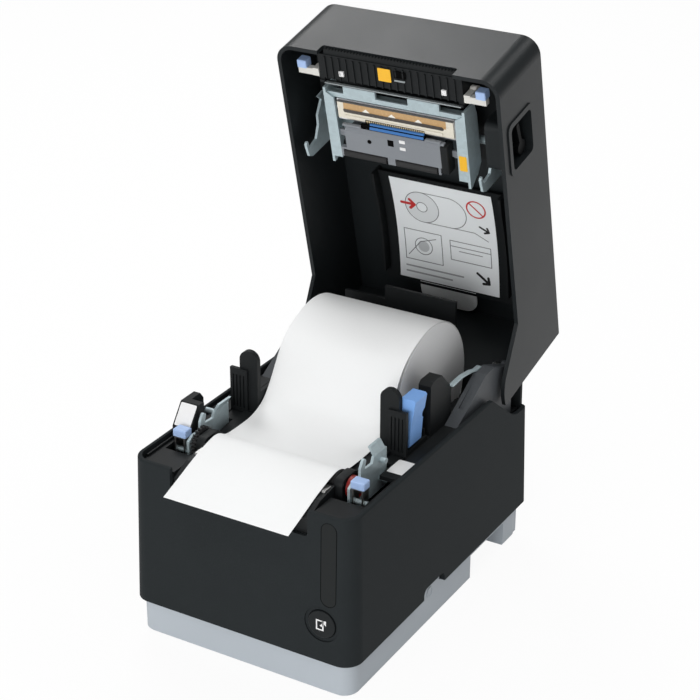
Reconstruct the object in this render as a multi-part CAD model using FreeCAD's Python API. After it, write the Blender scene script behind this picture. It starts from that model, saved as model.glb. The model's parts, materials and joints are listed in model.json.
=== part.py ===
"""Desktop receipt printer with an open clamshell lid and a loaded paper roll.

Millimetres. Origin: centre of the base's underside. +X right seen from the front,
-Y towards the front where the paper comes out, +Z up. Lid pieces are drawn with the
lid shut and then turned open about the hinge.
"""
import FreeCAD, Part
import math
import os

from FreeCAD import Vector

# Base and case
body_width = 146.0
body_depth = 214.0
base_height = 21.3
case_height = 90.3
wall_draft = 1.32
wall = 2.5
front_corner_radius = 11.0
rear_corner_radius = 4.0
rim_round = 1.2
base_inset = 3.2
base_corner_radius = 9.0
base_floor = 2.5
case_flange_width = 7.0
case_flange_thickness = 2.0
deck_drop = 3.6
deck_thickness = 2.5
deck_ledge = 3.0
seat_clearance = 0.3

# Cable bays under the base
bay_from_rear = 25.0
bay_length = 44.0
bay_height = 16.0
bay_inner_x = 25.0
bay_passage_margin = 15.0

# Feet and screws
foot_radius = 5.0
foot_depth = 2.0
foot_margin = 0.5
front_foot_inset = 15.0
front_foot_back = 30.0
front_screw_back = 15.0
screw_radius = 1.35
screw_head_radius = 3.0
screw_head_height = 2.4
screw_recess = 8.0
screw_reach = 9.0
screw_boss_radius = 4.6
screw_clearance = 0.1

# Front of the case
notch_margin = 4.25
notch_depth = 15.4
lens_from_side = 15.8
lens_width = 9.5
lens_bottom = 57.0
lens_top = 108.0
lens_clearance = 0.15
button_from_side = 19.7
button_z = 45.0
button_radius = 8.4
button_clearance = 0.4
button_ring = 2.0
button_ring_depth = 0.7
button_proud = 0.3
button_length = 5.0
button_travel = 1.2
button_stem_radius = 2.0
arch_front = -26.2
arch_rear = -1.2
arch_height = 6.4

# Lid and hinge
lid_height = 52.7
lid_seam = 0.6
lid_open_angle = 76.2
hinge_from_rear = 10.7
hinge_drop = 0.6
lid_rear_reach = 5.6
lid_rear_lower = 7.0
tongue_radius = 22.8
tongue_reach = 38.3
scoop_clearance = 0.7
pin_radius = 3.0
pin_clearance = 0.05
hinge_boss_radius = 6.0
tower_side_gap = 2.4
tower_width = 8.0
hinge_boss_gap = 0.5
pin_reach = 7.0
tower_rise = 19.0
tower_toe = 74.0
tower_boss_radius = 7.0
spring_wire = 1.3
spring_turns = 4
spring_leg = 26.0

# Paper
paper_width = 79.5
roll_radius = 41.5
core_outer_radius = 9.5
core_wall = 1.6
roll_behind_hinge = 15.4
roll_floor = 75.8
web_thickness = 0.3
bay_clearance = 0.6
bay_side_gap = 1.0
bay_wall = 2.2
rear_wall_thickness = 2.2
rear_tab_top = 155.5
rear_shoulder_top = 147.0
rear_tab_left = -16.0
rear_tab_right = 32.0

# Boards, sockets and power switch
board_thickness = 1.6
board_standoff = 5.0
board_front = 8.0
board_side_gap = 1.9
board_post_radius = 3.0
board_post_inset = 7.0
button_board_back = 8.5
button_board_half = 10.0
button_peg_radius = 2.2
button_peg_reach = 15.0
button_peg_rise = 7.0
button_switch_height = 1.2
button_switch_half = 3.0
power_x = -34.0
power_width = 16.0
power_height = 13.0
usb_x = -8.0
usb_width = 12.0
usb_height = 11.0
network_x = 16.0
network_width = 16.0
network_height = 13.5
socket_recess = 1.2
switch_x = 45.0
switch_rise = 22.0
switch_half_x = 6.5
switch_half_z = 9.5
switch_wall = 1.0
switch_flange = 1.2
switch_pin_radius = 0.9
switch_pin_depth = 3.0
rocker_tilt = 1.2
rocker_side_gap = 0.3
rocker_end_gap = 1.3

# Print mechanism in the case, measured back from the front face
platen_back = 41.0
platen_radius = 7.0
platen_rise = 2.8
platen_overhang = 0.75
platen_shaft_radius = 3.0
running_clearance = 0.05
side_plate_inset = 21.8
sheet_metal = 1.6
bush_radius = 5.0
bush_proud = 0.6
bush_collar = 3.5
fixed_blade_back = 23.0
fixed_blade_width = 7.0
fixed_blade_lift = 3.2
fixed_blade_thickness = 1.2
fixed_blade_bevel = 0.8
lever_pin_radius = 1.5
lever_pin_length = 9.4
frame_reach = 30.0
plate_nose = 10.0
plate_depth = 12.0
plate_shelf = 6.4
horn_back = 1.6
horn_width = 6.0
horn_rise = 16.0
horn_lean = 3.6
horn_tip_round = 1.3
notch_rise = 8.8
crest_back = 16.0
crest_rise = 11.6
flange_rise = 4.8
flange_lean = 3.0
housing_slope = 9.0
housing_face = 8.0
housing_top = 20.0
housing_length = 14.0
housing_tail = 11.0
housing_gap = 1.9
ramp_gap = 1.5
ramp_rise = 2.2
ramp_run = 14.0
ramp_fall = 9.0
ramp_side_gap = 3.2
web_lift = 1.4
gear_module = 0.8
gear_width = 2.7
platen_teeth = 22
idler_teeth = 36
pinion_teeth = 12
mesh_clearance = 0.12
motor_side = 35.0
motor_length = 26.0

# Roll guides
guide_gap = 0.65
guide_back = 84.0
guide_top = 147.5
guide_step = 11.5
guide_tall = 12.0
guide_panel_start = 6.0
guide_panel_margin = 3.0
guide_grooves = 4
guide_plate = 2.6
guide_length = 34.0
guide_outer_x = 55.0
guide_travel = 4.0
pillar_back = 29.6
pillar_rise = 33.0
pillar_length = 25.0
lock_top = 142.0
lock_length = 13.4
lock_lean = 7.0
lock_pivot_inset = 1.5
lock_pivot_rise = 5.0

# Print mechanism in the lid, measured back from the front face
cover_half = 46.0
cover_front = 6.5
cover_rear = 24.5
cover_lip = 4.4
cover_wall = 2.0
rib_pitch = 4.6
rib_height = 0.8
tear_half = 42.0
tear_pitch = 2.0
tear_depth = 1.2
tear_width = 2.7
head_half = 37.5
head_front = 36.0
head_width = 11.0
head_gap = 0.9
head_thickness = 1.1
sink_thickness = 5.2
head_spring_length = 6.0
spring_x = 24.0
head_spring_wire = 1.2
head_spring_radius = 3.0
head_spring_turns = 3
arm_inner_x = 38.4
bracket_half = 45.6
bracket_front = 28.4
bracket_rear = 74.4
bracket_gap = 0.8
lid_frame_drop = 16.4
lid_frame_thickness = 2.5
panel_half = 32.0
panel_seam = 0.4
panel_front = 50.0
panel_rear = 65.5
pinch_radius = 2.4
pinch_rise = 1.6
pinch_shaft_radius = 1.0
pinch_back = 68.4
latch_back = 59.0
latch_drop = 7.0
catch_rise = 6.4
latch_radius = 2.5
latch_release = 10.7
pocket_front = 35.0
pocket_rear = 65.5
pocket_below = 19.5
pocket_tall = 28.0
pocket_depth = 15.3
pocket_rim = 0.8
pocket_wall = 1.6
blade_travel = 7.0
blade_gap = 0.6
cutter_motor_radius = 6.2
cutter_motor_length = 32.0
cutter_motor_x = 8.0
cutter_shaft_length = 6.0
cutter_shaft_radius = 2.0
liner_half = 44.0
liner_lead = 37.4
liner_sag = 3.5
liner_thickness = 1.2

# Places worked out from the sizes above
front = -body_depth / 2
rear = body_depth / 2
half_width = body_width / 2
bay_rear = rear - bay_from_rear
bay_front = bay_rear - bay_length
bay_passage_outer_x = half_width - bay_passage_margin
notch_half = paper_width / 2 + notch_margin
lens_x = half_width - lens_from_side
button_x = half_width - button_from_side
side_plate_x = half_width - side_plate_inset
rim_z = base_height + case_height
lean = math.tan(math.radians(wall_draft))
rim_inset = case_height * lean
lid_half = half_width - rim_inset
lid_front = front + rim_inset
lid_rim = rim_z + lid_seam
lid_top = lid_rim + lid_height
lid_ceiling = lid_top - wall
hinge_y = rear - hinge_from_rear
hinge_z = rim_z - hinge_drop
lid_rear = hinge_y + lid_rear_reach
deck_top = rim_z - deck_drop
deck_bottom = deck_top - deck_thickness
guide_inner_x = paper_width / 2 + guide_gap
bay_half = guide_inner_x + guide_plate + guide_travel + bay_side_gap
roll_y = hinge_y - roll_behind_hinge - roll_radius
roll_z = roll_floor + roll_radius
platen_y = front + platen_back
platen_z = rim_z - platen_rise
platen_top = platen_z + platen_radius
head_low = platen_top + web_thickness + head_gap
head_y = front + head_front
sink_low = head_low + head_thickness
sink_top = sink_low + sink_thickness
bracket_low = platen_top + bracket_gap
panel_low = lid_rim + panel_seam
bracket_top = sink_top + head_spring_length
lid_frame_low = lid_ceiling - lid_frame_drop
latch_y = front + latch_back
latch_z = lid_frame_low - latch_drop
plate_outer_x = side_plate_x + sheet_metal
lever_outer_x = plate_outer_x + lever_pin_length
tower_outer_x = lid_half - wall - tower_side_gap
tower_inner_x = tower_outer_x - tower_width
apron_half = tower_inner_x - pin_reach - hinge_boss_gap
liner_front_y = roll_y - liner_lead
guide_y = front + guide_back
lock_pivot_x = guide_outer_x - lock_pivot_inset
ramp_front = platen_y + platen_radius + ramp_gap
ramp_rear = roll_y - roll_radius - bay_clearance - bay_wall - 1.0
ramp_top = deck_top + ramp_rise
ramp_half = side_plate_x - ramp_side_gap
frame_tail = platen_y + frame_reach
rear_floor_z = hinge_z - tongue_radius - scoop_clearance - 1.0
rear_wall_y = roll_y + roll_radius + 2.3
lever_y = platen_y - 7.0
lever_z = platen_z - 3.8
catch_y = latch_y + 5.5
catch_z = platen_z + catch_rise
lock_y = front + 19.0
lock_z = lid_rim + 13.8
switch_z = base_height + switch_rise
board_low = base_height + board_standoff
rear_foot_x = (bay_passage_outer_x + half_width - base_inset) / 2
rear_foot_y = bay_rear + foot_margin + foot_radius
rear_screw_y = rear_foot_y + foot_radius + screw_head_radius + screw_clearance + 1.4
front_foot_x = half_width - front_foot_inset
board_half = rear_foot_x - screw_boss_radius - board_side_gap
board_post_x = board_half - board_post_inset
screw_places = [(-front_foot_x, front + front_screw_back), (front_foot_x, front + front_screw_back),
                (-rear_foot_x, rear_screw_y), (rear_foot_x, rear_screw_y)]
foot_places = [(-front_foot_x, front + front_foot_back), (front_foot_x, front + front_foot_back),
               (-rear_foot_x, rear_foot_y), (rear_foot_x, rear_foot_y)]
board_places = [(side * board_post_x, y) for side in (-1, 1)
                for y in (board_front + board_post_inset, bay_front + board_post_inset + board_front)]
button_board_y = front + button_board_back
lock_pivot_z = deck_top + lock_pivot_rise


def box(x0, x1, y0, y1, z0, z1):
    return Part.makeBox(x1 - x0, y1 - y0, z1 - z0, Vector(x0, y0, z0))


def rod(x0, x1, y, z, radius):
    return Part.makeCylinder(radius, x1 - x0, Vector(x0, y, z), Vector(1, 0, 0))


def post(x, y, z0, z1, radius):
    return Part.makeCylinder(radius, z1 - z0, Vector(x, y, z0), Vector(0, 0, 1))


def peg(x, y0, y1, z, radius):
    return Part.makeCylinder(radius, y1 - y0, Vector(x, y0, z), Vector(0, 1, 0))


def side_prism(points, x0, x1):
    """A prism along X whose outline is a list of (y, z) points."""
    corners = [Vector(x0, y, z) for y, z in points]
    face = Part.Face(Part.makePolygon(corners + corners[:1]))
    return face.extrude(Vector(x1 - x0, 0, 0))


def front_prism(points, y0, y1):
    """A prism along Y whose outline is a list of (x, z) points."""
    corners = [Vector(x, y0, z) for x, z in points]
    face = Part.Face(Part.makePolygon(corners + corners[:1]))
    return face.extrude(Vector(0, y1 - y0, 0))


def plan_prism(points, z0, z1):
    """A prism along Z whose outline is a list of (x, y) points."""
    corners = [Vector(x, y, z0) for x, y in points]
    face = Part.Face(Part.makePolygon(corners + corners[:1]))
    return face.extrude(Vector(0, 0, z1 - z0))


def joined(first, *others):
    return first.multiFuse(list(others)).removeSplitter()


def mirrored(shape):
    return shape.mirror(Vector(0, 0, 0), Vector(1, 0, 0))


def both_sides(shape):
    return [shape, mirrored(shape)]


def opened(shape):
    """The shape as the open lid carries it."""
    turned = shape.copy()
    turned.rotate(Vector(0, hinge_y, hinge_z), Vector(1, 0, 0), -lid_open_angle)
    return turned


def edges_along(shape, axis, wanted):
    """Straight edges along an axis whose middle passes the test."""
    found = []
    for edge in shape.Edges:
        if edge.Curve.TypeId != "Part::GeomLine":
            continue
        direction = edge.tangentAt(edge.FirstParameter)
        if abs(direction.dot(axis)) > 0.99 and wanted(edge.CenterOfMass):
            found.append(edge)
    return found


def drafted_block(inset, z0, z1, round_front, round_rear):
    """The case's outer form, drawn in by an inset, between two heights."""
    low = inset + (z0 - base_height) * lean
    high = inset + (z1 - base_height) * lean
    block = Part.makeWedge(low - half_width, z0, low - rear, high - rear, high - half_width,
                           half_width - low, z1, rear - low, rear - high, half_width - high)
    block.rotate(Vector(0, 0, 0), Vector(1, 0, 0), 90)
    upright = Vector(0, 0, 1)
    block = block.makeFillet(round_front, edges_along(block, upright, lambda c: c.y < 0))
    return block.makeFillet(round_rear, edges_along(block, upright, lambda c: c.y > 0))


def rounded_box(x0, x1, y0, y1, z0, z1, radius):
    """A box with rounded upright corners."""
    block = box(x0, x1, y0, y1, z0, z1)
    return block.makeFillet(radius, edges_along(block, Vector(0, 0, 1), lambda c: True))


def capsule(x, z0, z1, width, y0, y1):
    """An upright slot shape with round ends, through the front wall."""
    radius = width / 2
    middle = box(x - radius, x + radius, y0, y1, z0 + radius, z1 - radius)
    return joined(middle, peg(x, y0, y1, z0 + radius, radius), peg(x, y0, y1, z1 - radius, radius))


def hinge_tail(radius, start_y, start_z, x0, x1):
    """Side of the lid about the hinge: a disc and the straight run up to the rim."""
    away_y = start_y - hinge_y
    away_z = start_z - hinge_z
    distance = math.hypot(away_y, away_z)
    heading = math.atan2(away_z, away_y) + math.acos(radius / distance)
    touch = (hinge_y + radius * math.cos(heading), hinge_z + radius * math.sin(heading))
    run = side_prism([(start_y, start_z), touch, (hinge_y, hinge_z), (hinge_y, start_z)], x0, x1)
    return joined(run, rod(x0, x1, hinge_y, hinge_z, radius))


def coil(centre, axis, radius, wire, turns, pitch):
    """A round-wire spring of a few turns."""
    path = Part.makeHelix(pitch, pitch * turns, radius)
    ring = Part.Wire(Part.makeCircle(wire / 2, Vector(radius, 0, 0), Vector(0, 1, 0)))
    spring = Part.Wire(path).makePipeShell([ring], True, True)
    turn = FreeCAD.Rotation(Vector(0, 0, 1), axis)
    spring.Placement = FreeCAD.Placement(centre, turn)
    return spring


def gear_blank(teeth, phase, x0, x1, y, z, bore):
    """A spur gear along X with involute flanks and one tooth at the phase angle."""
    pitch_radius = gear_module * teeth / 2
    base_radius = pitch_radius * math.cos(math.radians(20))
    tip_radius = pitch_radius + gear_module * 0.9
    root_radius = pitch_radius - gear_module * 1.25
    involute = math.tan(math.radians(20)) - math.radians(20)
    half_tooth = math.pi / (2 * teeth) - mesh_clearance / pitch_radius + involute
    flank = []
    for step in range(4):
        radius = max(base_radius, root_radius) * (1 - step / 3) + tip_radius * step / 3
        swing = math.acos(min(1, base_radius / radius))
        flank.append((radius, half_tooth - (math.tan(swing) - swing)))
    outline = []
    for tooth in range(teeth):
        middle = phase + 2 * math.pi * tooth / teeth
        outline.append((root_radius, middle - half_tooth))
        outline += [(radius, middle - angle) for radius, angle in flank]
        outline += [(radius, middle + angle) for radius, angle in reversed(flank)]
        outline.append((root_radius, middle + half_tooth))
    points = [(y + r * math.cos(a), z + r * math.sin(a)) for r, a in outline]
    return side_prism(points, x0, x1).cut(rod(x0 - 1, x1 + 1, y, z, bore))


def meshing_phase(driver_phase, driver_teeth, teeth, heading):
    """Phase that puts a gap of one gear on a tooth of its neighbour."""
    tooth_share = (heading - driver_phase) * driver_teeth / (2 * math.pi)
    return heading + math.pi - (0.5 - tooth_share) * 2 * math.pi / teeth


# Gear train on the left of the platen: platen gear, idler, motor pinion
gear_x1 = -side_plate_x + 0.3 + gear_width
gear_x0 = -side_plate_x + 0.3
idler_heading = math.radians(-70)
idler_distance = gear_module * (platen_teeth + idler_teeth) / 2
idler_y = platen_y + idler_distance * math.cos(idler_heading)
idler_z = platen_z + idler_distance * math.sin(idler_heading)
motor_heading = math.radians(-115)
motor_distance = gear_module * (idler_teeth + pinion_teeth) / 2
motor_y = idler_y + motor_distance * math.cos(motor_heading)
motor_z = idler_z + motor_distance * math.sin(motor_heading)
idler_phase = meshing_phase(0.0, platen_teeth, idler_teeth, idler_heading)
pinion_phase = meshing_phase(idler_phase, idler_teeth, pinion_teeth, motor_heading)
motor_plate_x = gear_x1 + 1.2
idler_pin_radius = 2.0
motor_shaft_radius = 1.5

def base_tray():
    """Grey tray under the case, with a cable bay on each side."""
    x = half_width - base_inset
    y = rear - base_inset
    tray = rounded_box(-x, x, -y, y, 0, base_height, base_corner_radius)
    inside = rounded_box(wall - x, x - wall, wall - y, y - wall, base_floor, base_height + 1,
                         base_corner_radius - wall)
    tray = tray.cut(inside)
    tray = tray.makeChamfer(0.6, edges_along(tray, Vector(1, 0, 0), lambda c: c.z < 0.01))
    additions = []
    cuts = []
    for side in (-1, 1):
        span = sorted((side * (bay_inner_x - wall), side * (x - wall / 2)))
        additions.append(box(span[0], span[1], bay_front - wall, y - wall / 2, 0, bay_height + wall))
        mouth = sorted((side * bay_inner_x, side * (x + 5)))
        cuts.append(box(mouth[0], mouth[1], bay_front, bay_rear, -1, bay_height))
        passage = sorted((side * bay_inner_x, side * bay_passage_outer_x))
        cuts.append(box(passage[0], passage[1], bay_rear - 1, y + 5, -1, bay_height))
        tab_span = sorted((side * (x - wall), side * x))
        tab_half = (arch_rear - arch_front) / 2 - 1.0
        tab_mid = (arch_rear + arch_front) / 2
        tab = box(tab_span[0], tab_span[1], tab_mid - tab_half, tab_mid + tab_half,
                  base_height - 1, base_height + arch_height + 1.5)
        tab = tab.makeFillet(3.0, edges_along(tab, Vector(1, 0, 0), lambda c: c.z > base_height))
        additions.append(tab)
    for px, py in screw_places:
        additions.append(post(px, py, 0, base_height, screw_boss_radius))
        cuts.append(post(px, py, -1, screw_recess, screw_head_radius + screw_clearance))
        cuts.append(post(px, py, -1, base_height + 1, screw_radius + screw_clearance))
    for px, py in board_places:
        low = base_floor if py < bay_front - wall else bay_height
        additions.append(post(px, py, low, board_low, board_post_radius))
    for px, py in foot_places:
        cuts.append(post(px, py, -1, foot_depth, foot_radius))
    return joined(tray, *additions).cut(cuts)


def rubber_feet():
    """Four round pads set flush into the underside."""
    pads = []
    for px, py in foot_places:
        pad = post(px, py, 0, foot_depth, foot_radius)
        pads.append(pad)
    return Part.makeCompound(pads)


def case_screws():
    """Screws that hold the tray to the case from below."""
    screws = []
    for px, py in screw_places:
        head = post(px, py, screw_recess - screw_head_height, screw_recess, screw_head_radius)
        slot = box(px - 2, px + 2, py - 0.4, py + 0.4, 0, screw_recess - screw_head_height + 1)
        slot = slot.fuse(box(px - 0.4, px + 0.4, py - 2, py + 2, 0, screw_recess - screw_head_height + 1))
        shank = post(px, py, screw_recess, base_height + screw_reach, screw_radius)
        screws.append(joined(head, shank).cut(slot))
    return Part.makeCompound(screws)


def scoop_cut(x0, x1):
    """Room in the case for the lid's side about the hinge."""
    start_y = hinge_y - tongue_reach - lid_seam
    tail = hinge_tail(tongue_radius + scoop_clearance, start_y, rim_z, x0, x1)
    above = box(x0, x1, hinge_y, rear + 5, hinge_z - 1, rim_z + 9)
    behind = side_prism([(hinge_y, hinge_z), (rear + 5, hinge_z),
                         (rear + 5, hinge_z - tongue_radius - scoop_clearance),
                         (hinge_y, hinge_z - tongue_radius - scoop_clearance)], x0, x1)
    mouth = box(x0, x1, start_y, rear + 5, rim_z - 0.01, rim_z + 9)
    return joined(tail, above, behind, mouth)


def front_face_y(z):
    """Front face of the drafted case at a height."""
    return front + (z - base_height) * lean


def window(x, width, low, height, margin):
    return (x - width / 2 - margin, x + width / 2 + margin, low - margin, low + height + margin)


def socket_windows(margin):
    """Rear openings, each as x0, x1, z0, z1, grown by a margin."""
    low = board_low + board_thickness
    return {
        "power": window(power_x, power_width, low, power_height, margin),
        "usb": window(usb_x, usb_width, low, usb_height, margin),
        "network": window(network_x, network_width, low, network_height, margin),
    }


def case_shell():
    """Black case with drafted walls, open above for the deck and below for the tray."""
    outer = drafted_block(0, base_height, rim_z, front_corner_radius, rear_corner_radius)
    top_edges = [e for e in outer.Edges if min(v.Z for v in e.Vertexes) > rim_z - 0.01]
    outer = outer.makeFillet(rim_round, top_edges)
    inner_front = front_corner_radius - wall
    inner_rear = rear_corner_radius - wall
    inside = drafted_block(wall, base_height - 1, rim_z + 1, inner_front, inner_rear)
    shell = outer.cut(inside)
    rests = [(base_height, base_height + case_flange_thickness, case_flange_width),
             (deck_bottom - case_flange_thickness, deck_bottom, wall + deck_ledge)]
    for low, high, reach in rests:
        ring = drafted_block(wall / 2, low, high, inner_front, inner_rear)
        x = half_width - reach - (low - base_height) * lean
        y = rear - reach - (low - base_height) * lean
        shell = shell.fuse(ring.cut(box(-x, x, -y, y, low - 1, high + 1)))
    additions = []
    for px, py in screw_places:
        additions.append(post(px, py, base_height, base_height + screw_reach + 2, screw_boss_radius))
        reach = rear - wall - 0.5 if py > 0 else front + wall + 0.8
        span = sorted((py, reach))
        additions.append(box(px - 1.2, px + 1.2, span[0], span[1], base_height, base_height + screw_reach))
    for pz in (button_z - button_peg_rise, button_z + button_peg_rise):
        additions.append(peg(button_x - button_peg_reach, front_face_y(pz) + wall / 2, button_board_y, pz,
                             button_peg_radius))
    shell = joined(shell, *additions)
    start_y = hinge_y - tongue_reach
    cuts = []
    side_in = lid_half - wall - lid_seam
    cuts += both_sides(scoop_cut(side_in, half_width + 5))
    cuts.append(box(-side_in - 1, side_in + 1, start_y + 20, rear + 5,
                    hinge_z - lid_rear_lower - lid_seam, rim_z + 5))
    cuts.append(box(-side_in - 1, side_in + 1, start_y - 2, rear - wall - rim_inset,
                    rear_floor_z, rim_z + 5))
    cuts.append(rounded_notch())
    cuts.append(capsule(lens_x, lens_bottom, lens_top, lens_width, front - 5, front + 12))
    cuts.append(peg(button_x, front - 5, front + 12, button_z, button_radius + button_clearance))
    ring_y = front_face_y(button_z)
    cuts.append(peg(button_x, front - 5, ring_y + button_ring_depth, button_z,
                    button_radius + button_clearance + button_ring))
    for side in (-1, 1):
        span = sorted((side * (half_width - case_flange_width - 1), side * (half_width + 5)))
        arch = box(span[0], span[1], arch_front, arch_rear, base_height - 1, base_height + arch_height)
        arch = arch.makeFillet(4.0, edges_along(arch, Vector(1, 0, 0), lambda c: c.z > base_height))
        cuts.append(arch)
        inside_span = sorted((side * (half_width - case_flange_width - 1),
                              side * (half_width - base_inset + seat_clearance)))
        cuts.append(box(inside_span[0], inside_span[1], arch_front, arch_rear,
                        base_height - 1, base_height + arch_height + 3))
    for px, py in screw_places:
        cuts.append(post(px, py, base_height - 1, base_height + screw_reach, screw_radius + screw_clearance))
    for x0, x1, z0, z1 in socket_windows(seat_clearance).values():
        cuts.append(box(x0, x1, rear - 12, rear + 5, z0, z1))
    cuts.append(switch_block(0, rear - 12, rear + 5))
    return shell.cut(cuts)


def rounded_notch():
    """Front notch where the paper comes out."""
    low = rim_z - notch_depth
    notch = box(-notch_half, notch_half, front - 5, front + 14, low, rim_z + 5)
    return notch.makeFillet(2.0, edges_along(notch, Vector(0, 1, 0), lambda c: c.z < low + 0.01))


def led_lens():
    """Smoked lens set flush into the front wall."""
    band = drafted_block(0.05, lens_bottom - 2, lens_top + 2, front_corner_radius, rear_corner_radius)
    inside = drafted_block(wall, lens_bottom - 3, lens_top + 3,
                           front_corner_radius - wall, rear_corner_radius - wall)
    slot = capsule(lens_x, lens_bottom + lens_clearance, lens_top - lens_clearance,
                   lens_width - 2 * lens_clearance, front - 5, front + 12)
    lens = band.cut(inside).common(slot)
    backing = capsule(lens_x, lens_bottom - 2, lens_top - lens_clearance, lens_width + 2,
                      front_face_y(lens_bottom) - 5, front + 12)
    skin = drafted_block(wall, lens_bottom - 3, deck_bottom - case_flange_thickness,
                         front_corner_radius - wall, rear_corner_radius - wall)
    hollow = drafted_block(wall + 1.2, lens_bottom - 4, lens_top + 4,
                           front_corner_radius - wall - 1.2, rear_corner_radius - wall)
    return joined(lens, skin.cut(hollow).common(backing))


def feed_button():
    """Round feed button with the stem that presses its switch."""
    face_y = front_face_y(button_z) - button_proud
    cap = peg(button_x, face_y, face_y + button_length, button_z, button_radius)
    cap = cap.makeFillet(0.6, [e for e in cap.Edges if e.CenterOfMass.y < face_y + 0.01])
    lip = peg(button_x, face_y + button_length - 1, face_y + button_length, button_z,
              button_radius + button_clearance + 1.2)
    stem_end = button_board_y - button_travel - button_switch_height - 0.2
    stem = peg(button_x, face_y + button_length, stem_end, button_z, button_stem_radius)
    return joined(cap, stem, lip)


def button_board():
    """Small board with the push switch, on two pegs of the case."""
    y = button_board_y
    board = box(button_x - button_peg_reach - 2 * button_peg_radius, button_x + button_board_half, y,
                y + board_thickness, button_z - button_board_half, button_z + button_board_half)
    half = button_switch_half
    switch = box(button_x - half, button_x + half, y - button_switch_height, y,
                 button_z - half, button_z + half)
    return joined(board, switch)


def deck():
    """Top deck of the case with its paper ramp, a window for the mechanism and the roll bay."""
    end_y = hinge_y - tongue_reach - 1.0
    skirt = wall + 1.4
    plate = drafted_block(skirt, deck_bottom, deck_top, front_corner_radius - skirt, 1.0)
    low_rim = drafted_block(wall + seat_clearance, deck_bottom, deck_bottom + 1.0,
                            front_corner_radius - wall - seat_clearance, 1.0)
    plate = joined(plate, low_rim)
    far = half_width + 5
    cuts = [
        box(-far, far, end_y, rear + 5, deck_bottom - 1, deck_top + 1),
        box(-bay_half, bay_half, platen_y + 8, rear, deck_bottom - 1, deck_top + 1),
        box(-notch_half, notch_half, front - 1, platen_y + 9, deck_bottom - 1, deck_top + 1),
        box(-lever_outer_x - 1.8, lever_outer_x + 1.8, lever_y - 8, lever_y + 5,
            deck_bottom - 1, deck_top + 1),
        box(-plate_outer_x - 4.2, lever_outer_x + 1.8, lever_y + 4, frame_tail - 11,
            deck_bottom - 1, deck_top + 1),
        box(-plate_outer_x - 1.7, plate_outer_x + 1.7, frame_tail - 12, frame_tail + 3,
            deck_bottom - 1, deck_top + 1),
    ]
    for side in (-1, 1):
        span = sorted((side * (bay_half + 9), side * (bay_half + 10.5)))
        cuts.append(box(span[0], span[1], frame_tail + 4, end_y - 8, deck_top - 0.8, deck_top + 1))
    plate = plate.cut(cuts)
    pillar_y = guide_y + pillar_back
    top = deck_top + pillar_rise
    pillar = side_prism([(pillar_y, deck_top - 1), (pillar_y, top - 2), (pillar_y + 2.4, top),
                         (pillar_y + 13, top), (pillar_y + pillar_length, top - 12),
                         (pillar_y + pillar_length, deck_top - 1)], guide_outer_x - 6, guide_outer_x + 2)
    return joined(plate, pillar, paper_ramp())


def roll_bay():
    """Trough that the roll lies in, with its side walls and the floor behind it."""
    radius = roll_radius + bay_clearance
    outer = rod(-bay_half - bay_wall, bay_half + bay_wall, roll_y, roll_z, radius + bay_wall)
    trough = outer.cut(rod(-bay_half, bay_half, roll_y, roll_z, radius))
    high = deck_bottom
    far = radius + bay_wall + 5
    trough = trough.cut(box(-90, 90, roll_y - far, roll_y + far, high - 8, roll_z + far))
    front_y = roll_y - radius + 1.5
    back_y = rear_wall_y + rear_wall_thickness + 1.5
    walls = [box(side, side + bay_wall, front_y, back_y, rear_floor_z - 5, high)
             for side in (bay_half, -bay_half - bay_wall)]
    inner_x = lid_half - wall - lid_seam - 1.2
    floor = box(-inner_x, inner_x, rear_wall_y - 3, rear - wall - rim_inset - 0.8,
                rear_floor_z - bay_wall, rear_floor_z)
    clear = rod(-bay_half, bay_half, roll_y, roll_z, radius)
    return joined(trough, floor, *walls).cut(clear)


def rear_bay_wall():
    """Upright plate behind the roll with a raised tab."""
    y1 = rear_wall_y + rear_wall_thickness
    outline = [(-bay_half, rear_floor_z), (bay_half, rear_floor_z), (bay_half, rear_floor_z + 20),
               (rear_tab_right, rear_floor_z + 30), (rear_tab_right, rear_tab_top),
               (rear_tab_left, rear_tab_top), (rear_tab_left, rear_shoulder_top),
               (-bay_half + 4, rear_shoulder_top), (-bay_half + 4, rear_floor_z + 25),
               (-bay_half, rear_floor_z + 20)]
    return front_prism(outline, rear_wall_y, y1)


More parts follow.
